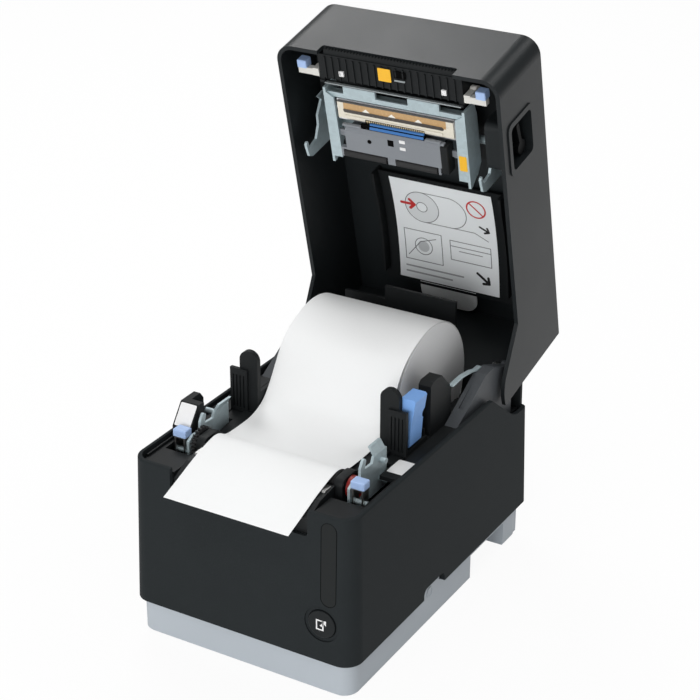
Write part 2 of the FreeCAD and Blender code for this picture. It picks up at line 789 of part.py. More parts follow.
def print_frame():
    """Welded steel frame: two side plates with hooks, a cross plate and a motor plate."""
    low = platen_z - plate_depth
    nose = platen_y - plate_nose
    tail = frame_tail
    shelf_z = platen_z + plate_shelf
    horn_y = platen_y + horn_back
    horn_z = platen_z + horn_rise
    notch_z = platen_z + notch_rise
    crest_y = platen_y + crest_back
    crest_z = platen_z + crest_rise
    outline = [(nose, low), (nose, shelf_z - 2.4), (nose + 4, shelf_z), (horn_y, shelf_z),
               (horn_y + 0.3, horn_z - 5), (horn_y + horn_lean, horn_z), (horn_y + horn_width, horn_z - 2.2),
               (horn_y + horn_width - 1.8, notch_z), (crest_y - 1.6, notch_z - 0.6), (crest_y, crest_z),
               (tail, crest_z), (tail, low)]
    plate = side_prism(outline, side_plate_x, plate_outer_x)
    plate = plate.makeFillet(horn_tip_round, edges_along(plate, Vector(1, 0, 0), lambda c: c.z > horn_z - 3))
    plate = plate.makeFillet(0.7, edges_along(plate, Vector(1, 0, 0),
                                              lambda c: notch_z - 1 < c.z < crest_z - 1))
    top_x = side_plate_x - flange_lean
    flange = front_prism([(side_plate_x, crest_z - 0.5), (plate_outer_x, crest_z - 0.5),
                          (plate_outer_x, crest_z), (top_x + sheet_metal, crest_z + flange_rise),
                          (top_x, crest_z + flange_rise), (side_plate_x, crest_z)],
                         crest_y + 0.8, tail - 1.5)
    plate = joined(plate, flange)
    stub = rod(plate_outer_x - 0.5, lever_outer_x, lever_y, lever_z, lever_pin_radius)
    foot = box(plate_outer_x - 0.5, plate_outer_x + 5.4, tail - 9, tail - 1,
               deck_bottom - sheet_metal, deck_bottom)
    catch_pin = rod(plate_outer_x - 0.5, plate_outer_x + 3.4, catch_y, catch_z, 1.8)
    right = joined(plate, stub, foot, catch_pin)
    long_pin = rod(plate_outer_x - 0.5, lever_outer_x, catch_y, catch_z, 1.8)
    left = mirrored(joined(plate, stub, foot, long_pin))
    floor_z = low + 1
    cross = box(-side_plate_x, side_plate_x, platen_y + 24, tail, floor_z, floor_z + sheet_metal)
    wide = box(motor_plate_x, side_plate_x, nose, tail, floor_z, floor_z + sheet_metal)
    motor_plate = box(motor_plate_x, motor_plate_x + sheet_metal, motor_y - motor_side / 2,
                      idler_y + 12, motor_z - motor_side / 2, floor_z + 0.5)
    idler_pin = rod(-side_plate_x - 0.5, motor_plate_x + 0.5, idler_y, idler_z, idler_pin_radius)
    ear = box(-plate_outer_x, -side_plate_x, idler_y - 8, idler_y + 8, idler_z - 8, low + 1)
    frame = joined(left, right, cross, wide, motor_plate, ear, idler_pin)
    holes = [rod(side_plate_x - 1, plate_outer_x + 1, platen_y, platen_z, bush_radius),
             rod(-plate_outer_x - 1, -side_plate_x + 1, platen_y, platen_z, bush_radius),
             rod(motor_plate_x - 1, motor_plate_x + sheet_metal + 1, motor_y, motor_z, 6.0)]
    return frame.cut(holes)


def platen_bushes():
    """Red sleeves that the platen shaft turns in."""
    collar_x = side_plate_x - bush_collar
    right = joined(rod(collar_x, side_plate_x, platen_y, platen_z, bush_radius + 1.2),
                   rod(side_plate_x, plate_outer_x + bush_proud, platen_y, platen_z, bush_radius))
    left = rod(-plate_outer_x - bush_proud, -side_plate_x, platen_y, platen_z, bush_radius)
    bore = rod(-80, 80, platen_y, platen_z, platen_shaft_radius + running_clearance)
    return Part.makeCompound([right.cut(bore), left.cut(bore)])


def platen_shaft():
    end = plate_outer_x + bush_proud + 0.1
    return rod(-end, end, platen_y, platen_z, platen_shaft_radius)


def platen_roller():
    half = paper_width / 2 + platen_overhang
    roller = rod(-half, half, platen_y, platen_z, platen_radius)
    roller = roller.makeChamfer(0.6, [e for e in roller.Edges if e.Curve.TypeId == "Part::GeomCircle"])
    return roller.cut(rod(-half - 1, half + 1, platen_y, platen_z, platen_shaft_radius))


def platen_gear():
    return gear_blank(platen_teeth, 0.0, gear_x0, gear_x1, platen_y, platen_z, platen_shaft_radius)


def idler_gear():
    return gear_blank(idler_teeth, idler_phase, gear_x0, gear_x1, idler_y, idler_z,
                      idler_pin_radius + running_clearance)


def motor_pinion():
    """Pinion with the motor's shaft."""
    pinion = gear_blank(pinion_teeth, pinion_phase, gear_x0, gear_x1, motor_y, motor_z, motor_shaft_radius)
    shaft = rod(gear_x0, motor_plate_x + sheet_metal + 12, motor_y, motor_z, motor_shaft_radius)
    return joined(pinion, shaft)


def feed_motor():
    """Square stepper motor on the motor plate."""
    x0 = motor_plate_x + sheet_metal
    half = motor_side / 2
    body = box(x0, x0 + motor_length, motor_y - half, motor_y + half, motor_z - half, motor_z + half)
    body = body.makeChamfer(4.0, edges_along(body, Vector(1, 0, 0), lambda c: True))
    bore = rod(x0 - 1, x0 + 12.5, motor_y, motor_z, motor_shaft_radius + running_clearance)
    return body.cut(bore)


def paper_ramp():
    """Ramp of the deck between the roll bay and the platen."""
    ramp = side_prism([(ramp_front, deck_bottom - 2), (ramp_front, platen_z - 0.8),
                       (ramp_front + ramp_run, ramp_top), (ramp_rear - ramp_fall, ramp_top),
                       (ramp_rear, deck_top - 1.0), (ramp_rear, deck_bottom - 2)], -ramp_half, ramp_half)
    guide_slot = box(guide_inner_x - seat_clearance, ramp_half + bay_half, guide_y - 1.0,
                     guide_y + guide_length + 1, deck_bottom - 3, deck_top + 9)
    wing_far = bay_half + 1.0
    wings = box(-wing_far, wing_far, frame_tail + 3.0, guide_y - 1.0, deck_bottom, deck_top)
    return joined(ramp.cut(both_sides(guide_slot)), wings)


def exit_guide():
    """Guide that leads the paper from the platen out through the notch."""
    low = rim_z - notch_depth
    exit_y = front + rim_inset + wall
    nose = side_prism([(exit_y, low), (exit_y, low + 9), (front + 17, deck_top + 2.6),
                       (platen_y - platen_radius - 2.5, deck_top + 4.2),
                       (platen_y - platen_radius - 2.5, deck_top - 4), (front + 16, low)],
                      -notch_half + 0.8, notch_half - 0.8)
    ear_low = deck_bottom - case_flange_thickness - 1.5
    ears = [box(side, side + 4, exit_y + 4, exit_y + 12, ear_low, deck_bottom)
            for side in (notch_half - 1.5, -notch_half - 2.5)]
    nose = joined(nose, *ears)
    blade_front = front + fixed_blade_back
    seat = box(-tear_half, tear_half, blade_front, blade_front + fixed_blade_width,
               deck_top + fixed_blade_lift, deck_top + fixed_blade_lift + 5.8)
    return nose.cut(seat)


def fixed_blade():
    """Steel counter blade on the exit guide."""
    blade_front = front + fixed_blade_back
    low = deck_top + fixed_blade_lift
    blade = box(-tear_half, tear_half, blade_front, blade_front + fixed_blade_width, low,
                low + fixed_blade_thickness)
    return blade.makeChamfer(fixed_blade_bevel,
                             edges_along(blade, Vector(1, 0, 0),
                                         lambda c: c.y < blade_front + 1 and c.z > low + 0.5))


def paper_web():
    """Paper from the roll over the platen and out at the front."""
    leave = math.radians(166)
    reach = roll_radius + 2 * web_thickness
    start = (roll_y + reach * math.cos(leave), roll_z + reach * math.sin(leave))
    places = [
        start,
        (start[0] - 5.8, start[1] - 8.8),
        (ramp_rear - ramp_fall - 3.2, ramp_top + 2.4 * web_lift),
        ((ramp_rear - ramp_fall + ramp_front + ramp_run) / 2 - 2.5, ramp_top + 1.4 * web_lift),
        (ramp_front + ramp_run + 3.0, ramp_top + web_lift),
        (platen_y + 9.5, platen_top),
        (platen_y - 5.0, platen_top + 0.7),
        (front + 17.8, platen_top - 1.6),
        (front + 1.5, platen_top - 7.4),
        (front - 10.4, platen_top - 14.2),
    ]
    half = paper_width / 2
    curve = Part.BSplineCurve()
    curve.interpolate([Vector(-half, y, z) for y, z in places])
    sheet = curve.toShape().extrude(Vector(paper_width, 0, 0))
    return sheet.makeOffsetShape(web_thickness, 0.01, fill=True)


def paper_roll():
    half = paper_width / 2
    roll = rod(-half, half, roll_y, roll_z, roll_radius)
    return roll.cut(rod(-half - 1, half + 1, roll_y, roll_z, core_outer_radius))


def roll_core():
    half = paper_width / 2
    core = rod(-half, half, roll_y, roll_z, core_outer_radius)
    return core.cut(rod(-half - 1, half + 1, roll_y, roll_z, core_outer_radius - core_wall))


def release_lever():
    """Right steel clip beside the platen, on its stub pin."""
    x0 = plate_outer_x + 1.2
    x1 = plate_outer_x + 8.2
    cheek = 1.0
    y0 = lever_y - 3.0
    y1 = lever_y + 3.0
    top = deck_top + 6.5
    clip = box(x0, x1, y0, y1, lever_z - 3, top)
    clip = clip.cut(box(x0 + cheek, x1 - cheek, y0 - 1, y1 + 1, lever_z - 4, top - cheek))
    return clip.cut(rod(x0 - 1, x1 + 1, lever_y, lever_z, lever_pin_radius + running_clearance))


def release_cap():
    """Right blue tip on the clip."""
    top = deck_top + 6.5
    cap = box(plate_outer_x + 0.4, plate_outer_x + 9.0, lever_y - 3.6, lever_y + 3.2, top, top + 4.3)
    return cap.makeFillet(0.8, [e for e in cap.Edges if e.CenterOfMass.z > top + 2])


def left_housing():
    """Black housing with a sloped face on the left of the deck."""
    y0 = lever_y + 3.8
    y1 = y0 + housing_length
    high = deck_top + housing_top
    left_x = -lid_half + 3.9
    profile = [(y0, deck_top), (y0, deck_top + housing_face), (y0 + housing_slope, high), (y1, high),
               (y1, deck_top)]
    block = side_prism(profile, left_x, -plate_outer_x - housing_gap)
    block = block.makeFillet(0.8, edges_along(block, Vector(1, 0, 0), lambda c: c.z > deck_top + 2))
    tail_profile = [(y1 - 1, deck_top), (y1 - 1, high), (y1 + housing_tail - 3, high),
                    (y1 + housing_tail, high - 4), (y1 + housing_tail, deck_top)]
    return joined(block, side_prism(tail_profile, left_x, -lever_outer_x - 0.5))


def guide_form():
    """Right roll guide: a tall round-topped upright, a grooved panel before it, a cheek and a foot."""
    x0 = guide_inner_x
    y0 = guide_y
    low = deck_top + seat_clearance
    arch_radius = guide_tall / 2
    arch_z = guide_top - arch_radius
    upright = joined(box(x0, x0 + guide_tall, y0 + 1.2, y0 + 4.6, low, arch_z),
                     peg(x0 + arch_radius, y0 + 1.2, y0 + 4.6, arch_z, arch_radius))
    panel_x0 = x0 + guide_panel_start
    panel_x1 = guide_outer_x + guide_panel_margin
    panel_top = guide_top - guide_step
    panel = box(panel_x0, panel_x1, y0 - 0.6, y0 + 1.6, low, panel_top)
    pitch = (panel_x1 - panel_x0) / (guide_grooves + 1)
    grooves = [box(panel_x0 + n * pitch - 0.45, panel_x0 + n * pitch + 0.45, y0 - 1.0, y0 + 0.3, low + 3,
                   panel_top - 4) for n in range(1, guide_grooves + 1)]
    cheek = box(x0, x0 + guide_plate, y0 + 1.2, y0 + guide_length, deck_bottom - 6, deck_top + 14)
    cheek = cheek.makeFillet(6.0, edges_along(cheek, Vector(1, 0, 0),
                                              lambda c: c.y > y0 + guide_length - 4 and c.z > deck_top))
    foot = box(x0, guide_outer_x + 2, y0, y0 + 26, low, low + 2.0)
    return joined(upright, panel.cut(grooves), cheek, foot)


def right_guide():
    """The right guide also carries the hinge pin of its lock."""
    y0 = guide_y
    ears = [box(lock_pivot_x - 2.5, lock_pivot_x + 2.5, y, y + 1.2, deck_top + 2, deck_top + 7)
            for y in (y0 + 3.4, y0 + 24.0)]
    pin = peg(lock_pivot_x, y0 + 3.0, y0 + 25.0, lock_pivot_z, 1.2)
    return joined(guide_form(), pin, *ears)


def guide_lock():
    """Blue lever that clamps the guides."""
    y0 = guide_y + 5.0
    y1 = y0 + lock_length
    low = deck_top + 2.6
    x = lock_pivot_x
    outline = [(x - 2.2, low), (x + 1.8, low), (x + 3.8, low + 2), (x + 4.6, low + 14),
               (x + lock_lean, lock_top - 1), (x + lock_lean - 0.9, lock_top), (x - 1.9, lock_top),
               (x - 2.8, lock_top - 1)]
    lever = front_prism(outline, y0, y1)
    finger = rod(x - 15, x + 15, y1 + 1.2, lock_top - 13, 3.2)
    lever = lever.cut(finger)
    return lever.cut(peg(x, y0 - 1, y1 + 1, lock_pivot_z, 1.2 + running_clearance))


def hinge_tower():
    """Right dark arm that carries the lid's hinge pin."""
    ramp_end = hinge_y - tongue_reach + 4
    outline = [(hinge_y - tower_toe, deck_top), (hinge_y - tongue_reach, deck_top + tower_rise),
               (hinge_y - tongue_reach + 11, deck_top + tower_rise),
               (hinge_y - 3, hinge_z + tower_boss_radius - 0.5), (hinge_y - 3, rear_floor_z),
               (ramp_end, rear_floor_z), (ramp_end, deck_top)]
    arm = side_prism(outline, tower_inner_x, tower_outer_x)
    boss = rod(tower_inner_x, tower_outer_x, hinge_y, hinge_z, tower_boss_radius)
    arm = joined(arm, boss)
    groove = side_prism([(hinge_y - tower_toe + 12, deck_top + 5.4),
                         (hinge_y - tongue_reach - 3, deck_top + tower_rise),
                         (hinge_y - tongue_reach - 3, deck_top + tower_rise + 9),
                         (hinge_y - tower_toe + 12, deck_top + 15)],
                        tower_inner_x + 2.5, tower_outer_x - 2.5)
    return arm.cut([groove.translated(Vector(0, 0, -1.0)),
                    rod(tower_inner_x - 1, tower_outer_x + 1, hinge_y, hinge_z, pin_radius)])


def hinge_pin():
    """Right hinge pin, held in the tower."""
    return rod(tower_inner_x - pin_reach, lid_half - 1.0, hinge_y, hinge_z, pin_radius)


def hinge_spring():
    """Right torsion spring on the hinge pin with its fixed leg."""
    pitch = spring_wire * 1.08
    radius = pin_radius + spring_wire / 2 + 0.3
    start = tower_inner_x - 0.8 - pitch * spring_turns
    turns = coil(Vector(start, hinge_y, hinge_z), Vector(1, 0, 0), radius, spring_wire, spring_turns, pitch)
    leg_x = tower_inner_x - spring_wire / 2
    leg_start = Vector(leg_x, hinge_y - 1, hinge_z + radius)
    leg = Part.makeCylinder(spring_wire / 2, spring_leg, leg_start, Vector(0, -1, 0.25))
    return Part.makeCompound([turns, leg])


def control_board():
    """Main board on the tray's posts, with its larger parts."""
    y1 = rear - wall - 3.0
    board = box(-board_half, board_half, board_front, y1, board_low, board_low + board_thickness)
    top = board_low + board_thickness
    chips = [box(-20, -6, 30, 44, top, top + 1.4), box(6, 26, 26, 34, top, top + 1.2),
             box(-45, -33, 20, 40, top, top + 9), box(36, 48, 20, 52, top, top + 8)]
    return joined(board, *chips)


def socket(name, inner_margin, depth):
    """A rear socket standing on the main board, open to the rear."""
    x0, x1, z0, z1 = socket_windows(0)[name]
    y1 = rear - socket_recess
    block = box(x0, x1, y1 - depth, y1, z0, z1)
    return block, (x0 + inner_margin, x1 - inner_margin, z0 + inner_margin, z1 - inner_margin, y1)


def power_inlet():
    """Round direct-current inlet."""
    block, (x0, x1, z0, z1, y1) = socket("power", 2.0, 15)
    x = (x0 + x1) / 2
    z = (z0 + z1) / 2
    return block.cut(peg(x, y1 - 10, y1 + 1, z, (z1 - z0) / 2))


def data_sockets():
    """Printer-cable socket and network socket."""
    usb, (x0, x1, z0, z1, y1) = socket("usb", 1.0, 16)
    usb = usb.cut(box(x0, x1, y1 - 10, y1 + 1, z0, z1))
    usb = joined(usb, box(x0 + 2.2, x1 - 2.2, y1 - 11, y1 - 1.5, z0 + 2.6, z1 - 2.6))
    lan, (x0, x1, z0, z1, y1) = socket("network", 1.4, 18)
    lan = lan.cut(box(x0, x1, y1 - 12, y1 + 1, z0 + 2, z1))
    lan = lan.cut(box(x0 + 4, x1 - 4, y1 - 12, y1 + 1, z0, z0 + 3))
    return Part.makeCompound([usb, lan])


def switch_block(margin, y0, y1):
    """A block on the switch's outline, grown by a margin."""
    return box(switch_x - switch_half_x - margin, switch_x + switch_half_x + margin, y0, y1,
               switch_z - switch_half_z - margin, switch_z + switch_half_z + margin)


def switch_frame():
    """Frame of the power switch in the rear wall."""
    y1 = rear - (switch_z - base_height) * lean
    outer = switch_block(0, y1 - 12, y1 + 0.5)
    flange = switch_block(switch_flange, y1 + 0.5, y1 + 1.4)
    hollow = switch_block(-switch_wall, y1 - 10, y1 + 5)
    inner_x = switch_half_x - switch_wall
    pins = [rod(switch_x + side * inner_x - 1.0, switch_x + side * inner_x + 1.0, y1 - switch_pin_depth,
                switch_z, switch_pin_radius) for side in (-1, 1)]
    return joined(joined(outer, flange).cut(hollow), *pins)


def switch_rocker():
    """Rocker with its lower half pressed."""
    y1 = rear - (switch_z - base_height) * lean
    half_x = switch_half_x - switch_wall - rocker_side_gap
    half_z = switch_half_z - switch_wall - rocker_end_gap
    tilt = rocker_tilt
    outline = [(y1 - 5, switch_z - half_z), (y1 + 0.6 - tilt, switch_z - half_z), (y1 + 0.6, switch_z),
               (y1 + 1.0 + tilt, switch_z + half_z), (y1 - 5, switch_z + half_z)]
    rocker = side_prism(outline, switch_x - half_x, switch_x + half_x)
    return rocker.cut(rod(switch_x - 20, switch_x + 20, y1 - switch_pin_depth, switch_z,
                          switch_pin_radius + running_clearance))


def lid_shell():
    """Black lid: five walls, the hinge sides, a front notch and a side window."""
    outer = box(-lid_half, lid_half, lid_front, lid_rear, lid_rim, lid_top)
    outer = outer.makeFillet(front_corner_radius, edges_along(outer, Vector(0, 0, 1), lambda c: c.y < 0))
    top_edges = [e for e in outer.Edges if min(v.Z for v in e.Vertexes) > lid_top - 0.01]
    outer = outer.makeFillet(1.5, top_edges)
    inside = box(wall - lid_half, lid_half - wall, lid_front + wall, lid_rear - wall,
                 lid_rim - 1, lid_ceiling)
    inside = inside.makeFillet(front_corner_radius - wall,
                               edges_along(inside, Vector(0, 0, 1), lambda c: c.y < 0))
    shell = outer.cut(inside)
    tail = hinge_tail(tongue_radius, hinge_y - tongue_reach, lid_rim, lid_half - wall, lid_half)
    keep = box(0, lid_half, front, lid_rear, 0, lid_rim)
    boss = rod(tower_outer_x + hinge_boss_gap, lid_half - wall + 0.5, hinge_y, hinge_z,
               hinge_boss_radius)
    boss = boss.common(box(0, lid_half, front, lid_rear, 0, lid_top))
    side = joined(tail.common(keep), boss)
    rear_low = hinge_z - lid_rear_lower
    apron = box(-apron_half, apron_half, lid_rear - wall, lid_rear, rear_low, lid_rim + 1)
    shell = joined(shell, side, mirrored(side), apron)
    bore = rod(tower_outer_x, lid_half - 0.9, hinge_y, hinge_z, pin_radius + pin_clearance)
    tower_gap = box(apron_half, lid_half - wall, hinge_y - 3, lid_rear + 5, hinge_z - 40, lid_rim + 10)
    cuts = both_sides(bore) + both_sides(tower_gap.cut(boss))
    notch = box(-tear_half - 1, tear_half + 1, lid_front - 5, lid_front + wall + 0.1,
                lid_rim - 1, lid_rim + 7)
    cuts.append(notch.makeFillet(1.5, edges_along(notch, Vector(0, 1, 0), lambda c: c.z > lid_rim + 6)))
    cuts.append(pocket_hole(0))
    return shell.cut(cuts)


def pocket_hole(inset):
    """Room for the side pocket, through the right wall."""
    hole = box(lid_half - pocket_depth, lid_half + 5, front + pocket_front + inset,
               front + pocket_rear - inset, latch_z - pocket_below + inset,
               latch_z - pocket_below + pocket_tall - inset)
    return hole.makeFillet(4.0 - inset / 2, edges_along(hole, Vector(1, 0, 0), lambda c: True))


def lever_pocket():
    """Pocket in the lid's right side with a raised rim, open to the outside."""
    floor_x = lid_half - pocket_depth
    body = pocket_hole(0).common(box(0, lid_half + pocket_rim, front, rear, 0, lid_top))
    rim = pocket_hole(-pocket_wall).common(box(lid_half, lid_half + pocket_rim, front, rear, 0, lid_top))
    room = box(floor_x + pocket_wall, lid_half + 9, front, rear, 0, lid_top)
    hollow = pocket_hole(pocket_wall).common(room)
    bore = rod(floor_x - 1, floor_x + pocket_wall + 1, latch_y, latch_z, latch_radius + running_clearance)
    return joined(body, rim).cut([hollow, bore])


def lid_liner():
    """Curved black liner under the lid's top with a cheek on each side."""
    end_y = rear_wall_y - 0.4
    mid_y = (liner_front_y + end_y) / 2
    half_chord = (end_y - liner_front_y) / 2
    radius = (half_chord ** 2 + liner_sag ** 2) / (2 * liner_sag)
    mid_z = lid_ceiling - 0.6 - liner_thickness
    low = box(-liner_half, liner_half, liner_front_y, end_y, mid_z - liner_sag - 1, lid_ceiling)
    arch = rod(-liner_half, liner_half, mid_y, mid_z + liner_thickness - radius, radius)
    hollow = rod(-liner_half - 1, liner_half + 1, mid_y, mid_z - radius, radius)
    plate = low.common(arch).cut(hollow)
    posts = [post(x, y, mid_z - 2, lid_ceiling, 3.0) for x in (-30, 30) for y in (mid_y - 28, mid_y + 28)]
    posts = [p.cut(hollow) for p in posts]
    cheeks = [box(side, side + 2, liner_front_y, end_y - 8, mid_z - liner_sag - 5, lid_ceiling).cut(
        rod(-90, 90, mid_y, mid_z - radius - 6.5, radius)) for side in (liner_half - 2, -liner_half)]
    return joined(plate, *posts, *cheeks)


def lid_frame():
    """Black carrier in the lid for the head bracket and the cutter."""
    high = lid_frame_low + lid_frame_thickness
    y0 = front + cover_front + 0.5
    y1 = front + bracket_rear + 3
    right_end = lid_half - pocket_depth - 1.6
    plate = box(-lid_half + wall + 1.5, right_end, y0 + 12, y1, lid_frame_low, high)
    nose = box(-cover_half - 4, cover_half + 4, y0, y0 + 13, lid_frame_low, high)
    places = [(x, y) for x in (-cover_half, cover_half) for y in (y0 + 10, y1 - 9)]
    posts = [post(x, y, high - 1, lid_ceiling, 4.0) for x, y in places]
    hanger_y = head_y + head_width
    hangers = [post(x, hanger_y, bracket_top + sheet_metal, lid_frame_low + 1, 3.0)
               for x in (-spring_x, spring_x)]
    bearings = [box(x, x + 3, latch_y - 5, latch_y + 5, latch_z - 5, lid_frame_low + 1)
                for x in (-plate_outer_x - 4.2, plate_outer_x - 3.8)]
    carrier = joined(plate, nose, *posts, *hangers, *bearings)
    return carrier.cut([rod(-90, 90, latch_y, latch_z, latch_radius + running_clearance),
                        box(-tear_half - 1, tear_half + 1, blade_y() - 0.8, blade_y() + 1.8, 0, 300)])


def blade_y():
    return front + cover_rear - 2.2


def tear_bar():
    """Serrated tear bar in the front notch."""
    y1 = front + cover_front
    y0 = y1 - tear_width
    teeth = int(2 * tear_half / tear_pitch)
    points = [(-tear_half, y1), (-tear_half, y0)]
    for n in range(teeth):
        x = -tear_half + n * tear_pitch
        points.append((x + tear_pitch / 2, y0 - tear_depth))
        points.append((x + tear_pitch, y0))
    points.append((tear_half, y1))
    return plan_prism(points, lid_rim + 5.0, lid_rim + 6.4)


def cutter_cover():
    """Ribbed black cover of the cutter, with stub pins for the lock levers."""
    y0 = front + cover_front
    y1 = front + cover_rear
    low = lid_rim + cover_lip
    block = box(-cover_half, cover_half, y0, y1, low, lid_frame_low)
    hollow = box(cover_wall - cover_half, cover_half - cover_wall, y0 + cover_wall, y1 + 1,
                 low + cover_wall, lid_frame_low + 1)
    count = int((cover_half - 2) / rib_pitch)
    ribs = [box(n * rib_pitch - 0.45, n * rib_pitch + 0.45, y0 + 1.0, y1 - 1.5, low - rib_height, low + 0.5)
            for n in range(-count, count + 1)]
    lip = box(-cover_half, cover_half, y1 - 1.5, y1, low - rib_height, low + 0.5)
    pins = [rod(cover_half - 0.5, cover_half + 4.4, lock_y, lock_z, lever_pin_radius),
            rod(-cover_half - 4.4, 0.5 - cover_half, lock_y, lock_z, lever_pin_radius)]
    cover = joined(block.cut(hollow), lip, *ribs, *pins)
    return cover.cut(box(-tear_half - 1, tear_half + 1, blade_y() - 0.8, blade_y() + 1.8, 0, low + 5))


def cutter_blade():
    """Sliding blade behind the cover, with a shallow V edge."""
    low = lid_rim + cover_lip + blade_travel + blade_gap
    high = lid_frame_low - 1.0
    outline = [(-tear_half, low), (0, low + 2.5), (tear_half, low), (tear_half, high), (-tear_half, high)]
    return front_prism(outline, blade_y(), blade_y() + 1.0)


def cutter_motor():
    """Small motor of the cutter under the lid carrier."""
    radius = cutter_motor_radius
    y = front + cover_front + cover_wall + radius + 0.4
    z = lid_frame_low - radius + 0.8
    left_x = cutter_motor_x - cutter_motor_length
    shaft_end = cutter_motor_x + cutter_shaft_length
    can = rod(left_x, cutter_motor_x, y, z, radius)
    above = box(left_x - 1, shaft_end + 1, y - 2 * radius, y + 2 * radius, lid_frame_low,
                lid_frame_low + 2 * radius)
    return joined(can, rod(cutter_motor_x, shaft_end, y, z, cutter_shaft_radius)).cut(above)


def head_bracket():
    """Galvanised bracket round the print head: top plate, side flanges, arms and front tabs."""
    y0 = front + bracket_front
    y1 = front + bracket_rear
    inner = bracket_half - sheet_metal
    top = box(-bracket_half, bracket_half, y0 + 8, y1 - 6, bracket_top, bracket_top + sheet_metal)
    high = bracket_top + sheet_metal
    flange = side_prism([(y0, bracket_low), (y1, bracket_low), (y1, bracket_low + 9), (y1 - 6, high),
                         (y0 + 8, high), (y0, bracket_low + 12)], inner, bracket_half)
    arm = plan_prism([(arm_inner_x + 0.8, y0 + 6), (bracket_half, y0 + 2), (bracket_half, y1),
                      (arm_inner_x, y1)], bracket_low, bracket_low + sheet_metal)
    bar = box(-inner, inner, y0 + 3, y0 + 6, bracket_low + 1.5, bracket_low + 1.5 + sheet_metal)
    wall_bar = box(-inner, inner, y0 + 6 - sheet_metal, y0 + 6, bracket_low + 1.5, bracket_low + 8)
    tabs = [box(x0, x1, y0 - 1.5, y0 + 4, bracket_low + 1.5, bracket_low + 1.5 + sheet_metal)
            for x0, x1 in ((-33, -12), (9, 29))]
    hook = side_prism([(y1 - 1, bracket_low + 9), (y1 - 1, bracket_low), (y1 + 4, bracket_low),
                       (y1 + 4, bracket_low + 2)], inner, bracket_half)
    pieces = [flange, arm, hook]
    return joined(top, bar, wall_bar, *tabs, *pieces, *[mirrored(p) for p in pieces])


def heat_sink():
    """Aluminium bar behind the ceramic, with lugs in the bracket's flanges."""
    inner = bracket_half - sheet_metal
    bar = box(-head_half - 0.5, head_half + 0.5, head_y - 1.0, head_y + head_width + 1.5, sink_low, sink_top)
    lug_y = head_y + head_width / 2
    lugs = both_sides(rod(head_half, inner, lug_y, sink_low + sink_thickness / 2, 2.2))
    fin_places = [head_y + 1.2 + n * 2.6 for n in range(4)]
    fins = [box(-head_half, head_half, y, y + 1.2, sink_top - 2.2, sink_top + 1) for y in fin_places]
    seats = [post(x, lug_y, sink_top - 3, sink_top, 4.5) for x in (-spring_x, spring_x)]
    return joined(bar.cut(fins), *lugs, *seats)


def print_head():
    """Ceramic strip with the raised heating line."""
    strip = box(-head_half, head_half, head_y, head_y + head_width, head_low, sink_low)
    line = box(-head_half + 3.5, head_half - 3.5, head_y + 4.4, head_y + 5.6, head_low - 0.25, head_low + 0.2)
    cover = box(-head_half + 5, head_half - 7, head_y + head_width - 2.6, head_y + head_width - 0.4,
                head_low - 0.6, head_low + 0.2)
    return joined(strip, line, cover)


def head_springs():
    """Springs that press the head down."""
    lug_y = head_y + head_width / 2
    wire = head_spring_wire
    pitch = (head_spring_length - wire) / head_spring_turns
    places = [Vector(x, lug_y, sink_top + wire / 2) for x in (-spring_x, spring_x)]
    return Part.makeCompound([coil(place, Vector(0, 0, 1), head_spring_radius, wire, head_spring_turns, pitch)
                              for place in places])


def pinch_places():
    """Start and end of the two pinch rollers."""
    return [(-panel_half - 2.0, -6.0), (0.5, panel_half - 5.0)]


def sensor_panel():
    """Grey sensor panel behind the head, with the pinch rollers' ears."""
    y0 = front + panel_front
    y1 = front + panel_rear
    low = panel_low
    face = side_prism([(y0, low + 1.8), (y0 + 2.5, low), (y1, low), (y1, low + 3.2), (y0, low + 4.0)],
                      -panel_half, panel_half)
    body = box(-panel_half, panel_half, y0 + 3, y1 - 2, low + 2, bracket_top)
    core = box(-panel_half + 2, panel_half - 2, y0 + 5, y1 - 4, low + 3.2, bracket_top + 1)
    hanger_low = bracket_low + sheet_metal
    hanger = box(panel_half - 1, arm_inner_x + 1.5, y0 + 6, y0 + 10, hanger_low, hanger_low + sheet_metal)
    hangers = both_sides(hanger)
    axle_y = front + pinch_back
    ears = []
    for x in (-panel_half - 4.0, -5.2, panel_half - 4.2):
        width = 4.9 if x == -5.2 else 1.4
        ears.append(box(x, x + width, y1 - 1, axle_y + 1.8, low + 0.2, low + 3.2))
    rail = box(-panel_half - 4.0, panel_half - 2.8, y1 - 1.2, y1, low + 0.2, low + 3.2)
    panel = joined(face, rail, body.cut(core), *hangers, *ears)
    return panel.cut(rod(-90, 90, axle_y, low + pinch_rise, pinch_shaft_radius + running_clearance))


def pinch_rollers():
    """Two black rollers on one thin shaft."""
    axle_y = front + pinch_back
    z = panel_low + pinch_rise
    ends = pinch_places()
    shaft = rod(-panel_half - 4.0, panel_half - 2.8, axle_y, z, pinch_shaft_radius)
    rollers = [rod(x0, x1, axle_y, z, pinch_radius) for x0, x1 in ends]
    return joined(shaft, *rollers)


